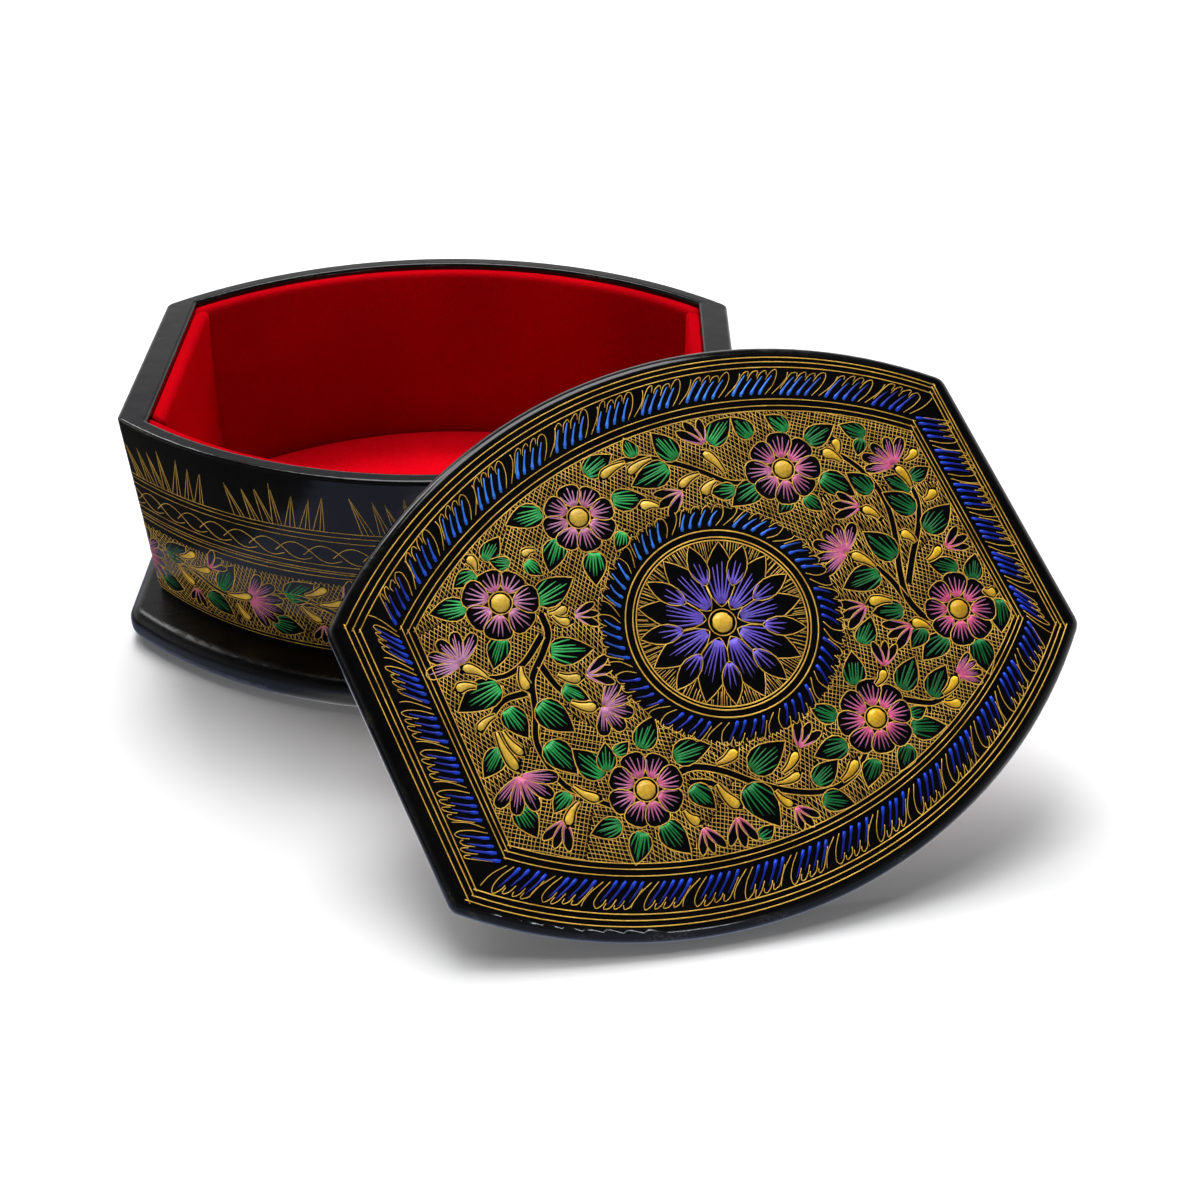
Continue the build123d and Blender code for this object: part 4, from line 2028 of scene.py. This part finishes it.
@dataclass(frozen=True)
class EnamelFinish:
    """Glossy paint of the brush strokes, which changes tone along a stroke, with a painted highlight
    that makes it paler near one place of the object.
    """

    effects: Effects
    head: Colour
    middle: Colour
    tail: Colour
    # Painted highlight: the paler tone, the place near which it is laid as if lit there, and the
    # distances over which it fades
    pale: Colour
    highlight_place: tuple[float, float, float]
    highlight_reach: Point = (0.045, 0.085)
    shade: float = 0.5
    roughness: float = 0.32
    grain: float = 0.25
    grain_scale: float = 1800.0
    # Height of the grain times its scale
    grain_slope: float = 0.216

    def painted_highlight(self, tree: Tree) -> Socket:
        """Share of the painted highlight's paler tone, most near one place and uneven.

        Args:
            tree: The material's nodes.

        Returns:
            The share.
        """
        gap = tree.add("VectorMath", {0: tree.place(), 1: self.highlight_place}, operation="DISTANCE")
        near = tree.spread(gap.outputs["Value"], *self.highlight_reach, 0.9, 0)
        return tree.times(near, tree.spread(tree.noise(70.0, 1.0), 0.35, 0.6, 0.6, 1.1))

    def make(self, name: str) -> bpy.types.Material:
        """Makes the material.

        Args:
            name: Name of the material.

        Returns:
            The material.
        """
        material, tree, shader = new_material(name)
        tone = self.effects.tone(tree, 110.0, 1400.0)
        stroke_map = tree.add("UVMap", uv_map="UVMap").outputs["UV"]
        along = tree.add("SeparateXYZ", {0: stroke_map}).outputs["X"]
        colour = tree.ramp(along, [(0.05, self.head), (0.4, self.middle), (0.95, self.tail)])
        # Painted highlight: the strokes turn paler near one place, as if the light fell there
        colour = tree.mix(self.painted_highlight(tree), colour, self.pale)
        shades = {0: colour, "Scale": tree.spread(tone, 0.32, 0.62, self.shade, 1.15)}
        shaded = tree.add("VectorMath", shades, operation="SCALE").outputs["Vector"]
        tree.feed(shader.inputs["Base Color"], shaded)
        dull = tree.spread(tone, 0.3, 0.7, self.roughness + 0.12, self.roughness)
        tree.feed(shader.inputs["Roughness"], dull)
        rough = tree.noise(self.grain_scale, 2.0)
        grain_height = self.grain_slope / self.grain_scale
        tree.feed(shader.inputs["Normal"], tree.bump(rough, self.grain, grain_height))
        return material


@dataclass(frozen=True)
class VelvetFinish:
    """Deep red velvet: short pile with a paler sheen at the edges."""

    deep: Colour = screen_colour(112, 1, 8)
    bright: Colour = screen_colour(172, 3, 13)
    sheen: Colour = screen_colour(255, 8, 24)

    def make(self, name: str) -> bpy.types.Material:
        """Makes the material.

        Args:
            name: Name of the material.

        Returns:
            The material.
        """
        material, tree, shader = new_material(name)
        brushed = tree.noise(20.0, 2.0, 0.4)
        pile = tree.noise(2400.0, 2.0, 0.7)
        tone = tree.math("ADD", tree.times(brushed, 0.4), tree.times(pile, 0.6))
        red = tree.ramp(tone, [(0.3, self.deep), (0.68, self.bright)])
        tree.feed(shader.inputs["Base Color"], red)
        shader.inputs["Roughness"].default_value = 0.9
        shader.inputs["Specular IOR Level"].default_value = 0.0
        shader.inputs["Sheen Weight"].default_value = 0.3
        shader.inputs["Sheen Roughness"].default_value = 0.35
        shader.inputs["Sheen Tint"].default_value = self.sheen
        tree.feed(shader.inputs["Normal"], tree.bump(pile, 0.6, 0.0004))
        return material


@dataclass(frozen=True)
class FibreFinish:
    """Felt, card or bare wood: a dull surface with fibres or grain."""

    deep: Colour
    bright: Colour
    stretch: tuple[float, float, float] = (1.0, 1.0, 1.0)
    scale: float = 900.0

    def make(self, name: str) -> bpy.types.Material:
        """Makes the material.

        Args:
            name: Name of the material.

        Returns:
            The material.
        """
        material, tree, shader = new_material(name)
        stretched = tree.add("Mapping", {"Vector": tree.place(), "Scale": self.stretch})
        place = stretched.outputs["Vector"]
        inputs = {"Vector": place, "Scale": self.scale, "Detail": 5.0, "Roughness": 0.65}
        fibres = tree.add("TexNoise", inputs).outputs["Fac"]
        colour = tree.ramp(fibres, [(0.3, self.deep), (0.7, self.bright)])
        tree.feed(shader.inputs["Base Color"], colour)
        tree.feed(shader.inputs["Roughness"], tree.spread(fibres, 0.3, 0.7, 0.92, 0.75))
        tree.feed(shader.inputs["Normal"], tree.bump(fibres, 0.5, 0.0003))
        return material


# Studio


@dataclass
class Studio:
    """Camera, lamps, pale floor and white surroundings."""

    camera_place: tuple[float, float, float] = (0.05543, -0.55632, 0.37105)
    camera_right: tuple[float, float, float] = (1.0, 0.00159, 0.00058)
    camera_forward: tuple[float, float, float] = (-0.00098, 0.82251, -0.56875)
    lens: float = 54.893

    def build_camera(self) -> None:
        """Sets the camera where the photograph was taken from."""
        data = bpy.data.cameras.new("camera")
        data.sensor_width = 36.0
        data.lens = self.lens
        data.clip_start, data.clip_end = 0.01, 50.0
        forward = Vector(self.camera_forward).normalized()
        right = Vector(self.camera_right)
        right = (right - forward * right.dot(forward)).normalized()
        up = right.cross(forward)
        turned = Matrix((right, up, -forward)).transposed()
        camera = bpy.data.objects.new("camera", data)
        camera.matrix_world = Matrix.Translation(self.camera_place) @ turned.to_4x4()
        bpy.context.scene.collection.objects.link(camera)
        bpy.context.scene.camera = camera

    def build_lamp(
        self,
        name: str,
        place: Sequence[float],
        aim: Sequence[float],
        size: Point,
        power: float,
        colour: Sequence[float] = (1, 1, 1),
        mirrored: bool = True,
    ) -> None:
        """Hangs a soft rectangular lamp.

        Args:
            name: Name of the lamp.
            place: Where it hangs.
            aim: Point that it faces.
            size: Its width and height.
            power: Its power in watts.
            colour: Its colour.
            mirrored: Whether gloss shows it.
        """
        data = bpy.data.lights.new(name, "AREA")
        data.shape = "RECTANGLE"
        data.size, data.size_y = size
        data.energy = power
        data.color = colour
        lamp = bpy.data.objects.new(name, data)
        lamp.visible_glossy = mirrored
        turned = (Vector(aim) - Vector(place)).to_track_quat("-Z", "Y").to_matrix()
        lamp.matrix_world = Matrix.Translation(place) @ turned.to_4x4()
        bpy.context.scene.collection.objects.link(lamp)

    def build_floor(self) -> None:
        """Lays a pale floor that meets the white, with a painted reflection: gloss sees it dark at the
        left, slate blue further right and white close to the box on the right.
        """
        shape = bmesh.new()
        bmesh.ops.create_circle(shape, cap_ends=True, segments=96, radius=4.0)
        mesh = bpy.data.meshes.new("floor")
        shape.to_mesh(mesh)
        shape.free()
        material, tree, shader = new_material("pale_floor")
        pale = [(0.3, screen_colour(202, 202, 203)), (0.7, screen_colour(208, 208, 209))]
        shown = tree.ramp(tree.noise(9.0, 2.0), pale)
        paths = tree.add("LightPath").outputs
        gloss = paths["Is Glossy Ray"]
        # Painted reflection: gloss sees the floor black, with only the glow set below
        tree.feed(shader.inputs["Base Color"], tree.mix(gloss, shown, BLACK))
        shader.inputs["Roughness"].default_value = 0.6
        shader.inputs["Specular IOR Level"].default_value = 0.2
        # Painted reflection: for gloss the floor glows dark grey at the left, slate blue further right
        # and white close to the box, which the lacquer mirrors
        place = tree.add("SeparateXYZ", {0: tree.place()}).outputs
        side = tree.math("ADD", place["X"], tree.times(place["Y"], 0.39))
        dark, slate = screen_colour(50, 50, 48), screen_colour(150, 158, 186)
        mirrored = tree.ramp(tree.spread(side, -0.16, -0.13), [(0.4, dark), (0.6, slate)])
        right = tree.spread(side, -0.085, -0.07)
        near = tree.times(right, tree.spread(place["Y"], -0.17, -0.15))
        mirrored = tree.mix(near, mirrored, WHITE)
        tree.feed(shader.inputs["Emission Color"], tree.mix(gloss, WHITE, mirrored))
        away = tree.add("VectorMath", {0: tree.place()}, operation="LENGTH").outputs["Value"]
        glow = tree.times(paths["Is Camera Ray"], tree.spread(away, 0.6, 1.4, 0.05, 1.0))
        tree.feed(shader.inputs["Emission Strength"], tree.math("ADD", glow, gloss))
        mesh.materials.append(material)
        floor = bpy.data.objects.new("floor", mesh)
        bpy.context.scene.collection.objects.link(floor)

    def build_surroundings(self) -> None:
        """Makes the surroundings white where they are seen, and plain grey light elsewhere.

        Gloss shows them white near the horizon behind the box, and a dark ceiling above.
        """
        world = bpy.data.worlds.new("surroundings")
        bpy.context.scene.world = world
        world.use_nodes = True
        tree = Tree(world.node_tree)
        way = tree.add("SeparateXYZ", {0: tree.add("TexCoord").outputs["Generated"]}).outputs
        slate = (0.2, 0.21, 0.24, 1)
        height = tree.ramp(way["Z"], [(0.3, WHITE), (0.58, slate), (0.8, BLACK)])
        behind = tree.spread(way["Y"], -0.5, 0.3, 0.15, 1.0)
        paths = tree.add("LightPath").outputs
        glossy, plain, white = (
            tree.add("Background", {"Color": colour, "Strength": strength}).outputs[0]
            for colour, strength in ((height, behind), (WHITE, 0.13), (WHITE, 1.0))
        )
        lit = tree.add("MixShader", {0: paths["Is Glossy Ray"], 1: plain, 2: glossy})
        mixed = tree.add("MixShader", {0: paths["Is Camera Ray"], 1: lit.outputs[0], 2: white})
        tree.feed(world.node_tree.nodes["World Output"].inputs["Surface"], mixed.outputs[0])

    def build(self) -> None:
        """Builds the whole studio."""
        self.build_camera()
        self.build_floor()
        self.build_surroundings()
        middle = (0.03, -0.03, 0.05)
        self.build_lamp("back", (-0.1, 1.3, 1.75), middle, (1.3, 1.1), 86.0, mirrored=False)
        self.build_lamp("overhead", (-0.1, 0.3, 1.3), middle, (0.7, 0.7), 11.0)
        self.build_lamp("back_left", (-0.95, 0.8, 1.3), middle, (0.5, 0.5), 6.0)
        self.build_lamp("front", (-0.5, -1.9, 0.34), middle, (1.0, 0.6), 9.0, mirrored=False)
        self.build_lamp("front_strip", (0.8, -1.95, 0.5), middle, (0.28, 0.1), 3.0, (0.85, 0.92, 1))
        bpy.context.scene.view_settings.view_transform = "Standard"
        log.info("studio")


# The object


# Tone of each enamel at a stroke's head, middle and tail, and its painted highlight tone, as a screen
# shows them
ENAMEL_TONES = {
    Paint.BLUE: ((12, 60, 200), (2, 30, 150), (2, 23, 130), (54, 134, 242)),
    Paint.GREEN: ((12, 114, 54), (4, 92, 42), (8, 98, 46), (44, 164, 82)),
    Paint.PINK: ((214, 84, 130), (186, 84, 128), (152, 92, 138), (176, 122, 160)),
    Paint.PURPLE: ((104, 80, 196), (84, 64, 172), (76, 58, 160), (108, 88, 198)),
    Paint.YELLOW: ((226, 184, 42), (208, 160, 26), (192, 142, 24), (218, 180, 72)),
}


class LacquerBox:
    """The whole object: CAD nodes dressed, soft pieces and ornament built."""

    def __init__(self) -> None:
        """Makes the plan, the carrying faces and the finishes."""
        self.plan = BoxPlan()
        self.lid = LidFace(self.plan)
        self.walls = WallFace(self.plan)
        self.effects = Effects()
        self.paints = self.make_paints()

    def make_paints(self) -> dict[Paint, bpy.types.Material]:
        """Makes the materials of the ornament.

        Returns:
            A material for each paint.
        """
        # Painted highlights: blue pales near the lid's raised back edge, the other enamels near its
        # upper left, as if lit from there
        highlight_spots = self.lid.settle(np.array([[0.0, 75.0, 0.0], [-45.0, 55.0, 0.0]]))
        high, left = (tuple(float(value) for value in spot) for spot in highlight_spots)
        wide = {"highlight_place": left, "highlight_reach": (0.05, 0.13)}
        ways = {
            Paint.BLUE: {"highlight_place": high},
            Paint.YELLOW: {**wide, "grain": 0.7, "grain_scale": 700.0},
        }
        made = {}
        for paint, tones in ENAMEL_TONES.items():
            colours = [screen_colour(*tone) for tone in tones]
            finish = EnamelFinish(self.effects, *colours, **ways.get(paint, wide))
            made[paint] = finish.make(f"{paint.value}_enamel")
        line = GoldFinish(self.effects, screen_colour(166, 120, 36), screen_colour(240, 192, 80))
        made[Paint.LINE] = line.make("gold_line_paint")
        net = GoldFinish(self.effects, screen_colour(168, 126, 46), screen_colour(240, 194, 92))
        made[Paint.NET] = net.make("gold_net_paint")
        return made

    def dress_nodes(self) -> None:
        """Gives the CAD nodes that stay in view their finishes."""
        face = Vector(np.array(self.lid.place)[:3, 2])
        standing = LacquerFinish(self.effects).make("standing_lacquer")
        lid = LacquerFinish(self.effects, face=tuple(face)).make("lid_lacquer")
        plinth = LacquerFinish(self.effects, roughness=(0.26, 0.36), waviness=0.08)
        wood = FibreFinish(
            screen_colour(120, 84, 50), screen_colour(176, 134, 88), stretch=(1, 14, 14), scale=90
        ).make("bare_wood")
        card = FibreFinish(screen_colour(150, 138, 118), screen_colour(188, 176, 154))
        by_ending = {
            "_card": card.make("grey_card"),
            "bottom_board": wood,
            "locating_board": wood,
            "lid_board": lid,
            "plinth_board": plinth.make("plinth_lacquer"),
        }
        for name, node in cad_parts.items():
            fitting = [material for ending, material in by_ending.items() if name.endswith(ending)]
            chosen = fitting[0] if fitting else standing
            node.data.materials.clear()
            node.data.materials.append(chosen)
            log.info("%s: %s", name, chosen.name)

    def build(self) -> None:
        """Builds and dresses everything."""
        self.dress_nodes()
        velvet = VelvetFinish().make("red_velvet")
        # Painted light: the floor pad's velvet is a lighter copy of the wall velvet, for the light that
        # falls on it from above
        brushed = VelvetFinish(screen_colour(180, 2, 16), screen_colour(244, 8, 28))
        felt = FibreFinish(screen_colour(110, 8, 18), screen_colour(158, 22, 34), scale=1600)
        Lining(self.plan, self.walls).build(velvet, brushed.make("floor_velvet_painted_lighter"))
        LidCover(self.lid).build(velvet)
        BaseFelt(self.plan).build(felt.make("red_felt"))
        lay_drawing(LidOrnament(self.lid).draw(), self.lid, "lid", "lid", self.paints)
        lay_drawing(WallOrnament(self.walls).draw(), self.walls, "box", "wall", self.paints)


def main() -> None:
    """Builds the studio and the object."""
    Studio().build()
    LacquerBox().build()


if __name__ == "__main__":
    main()
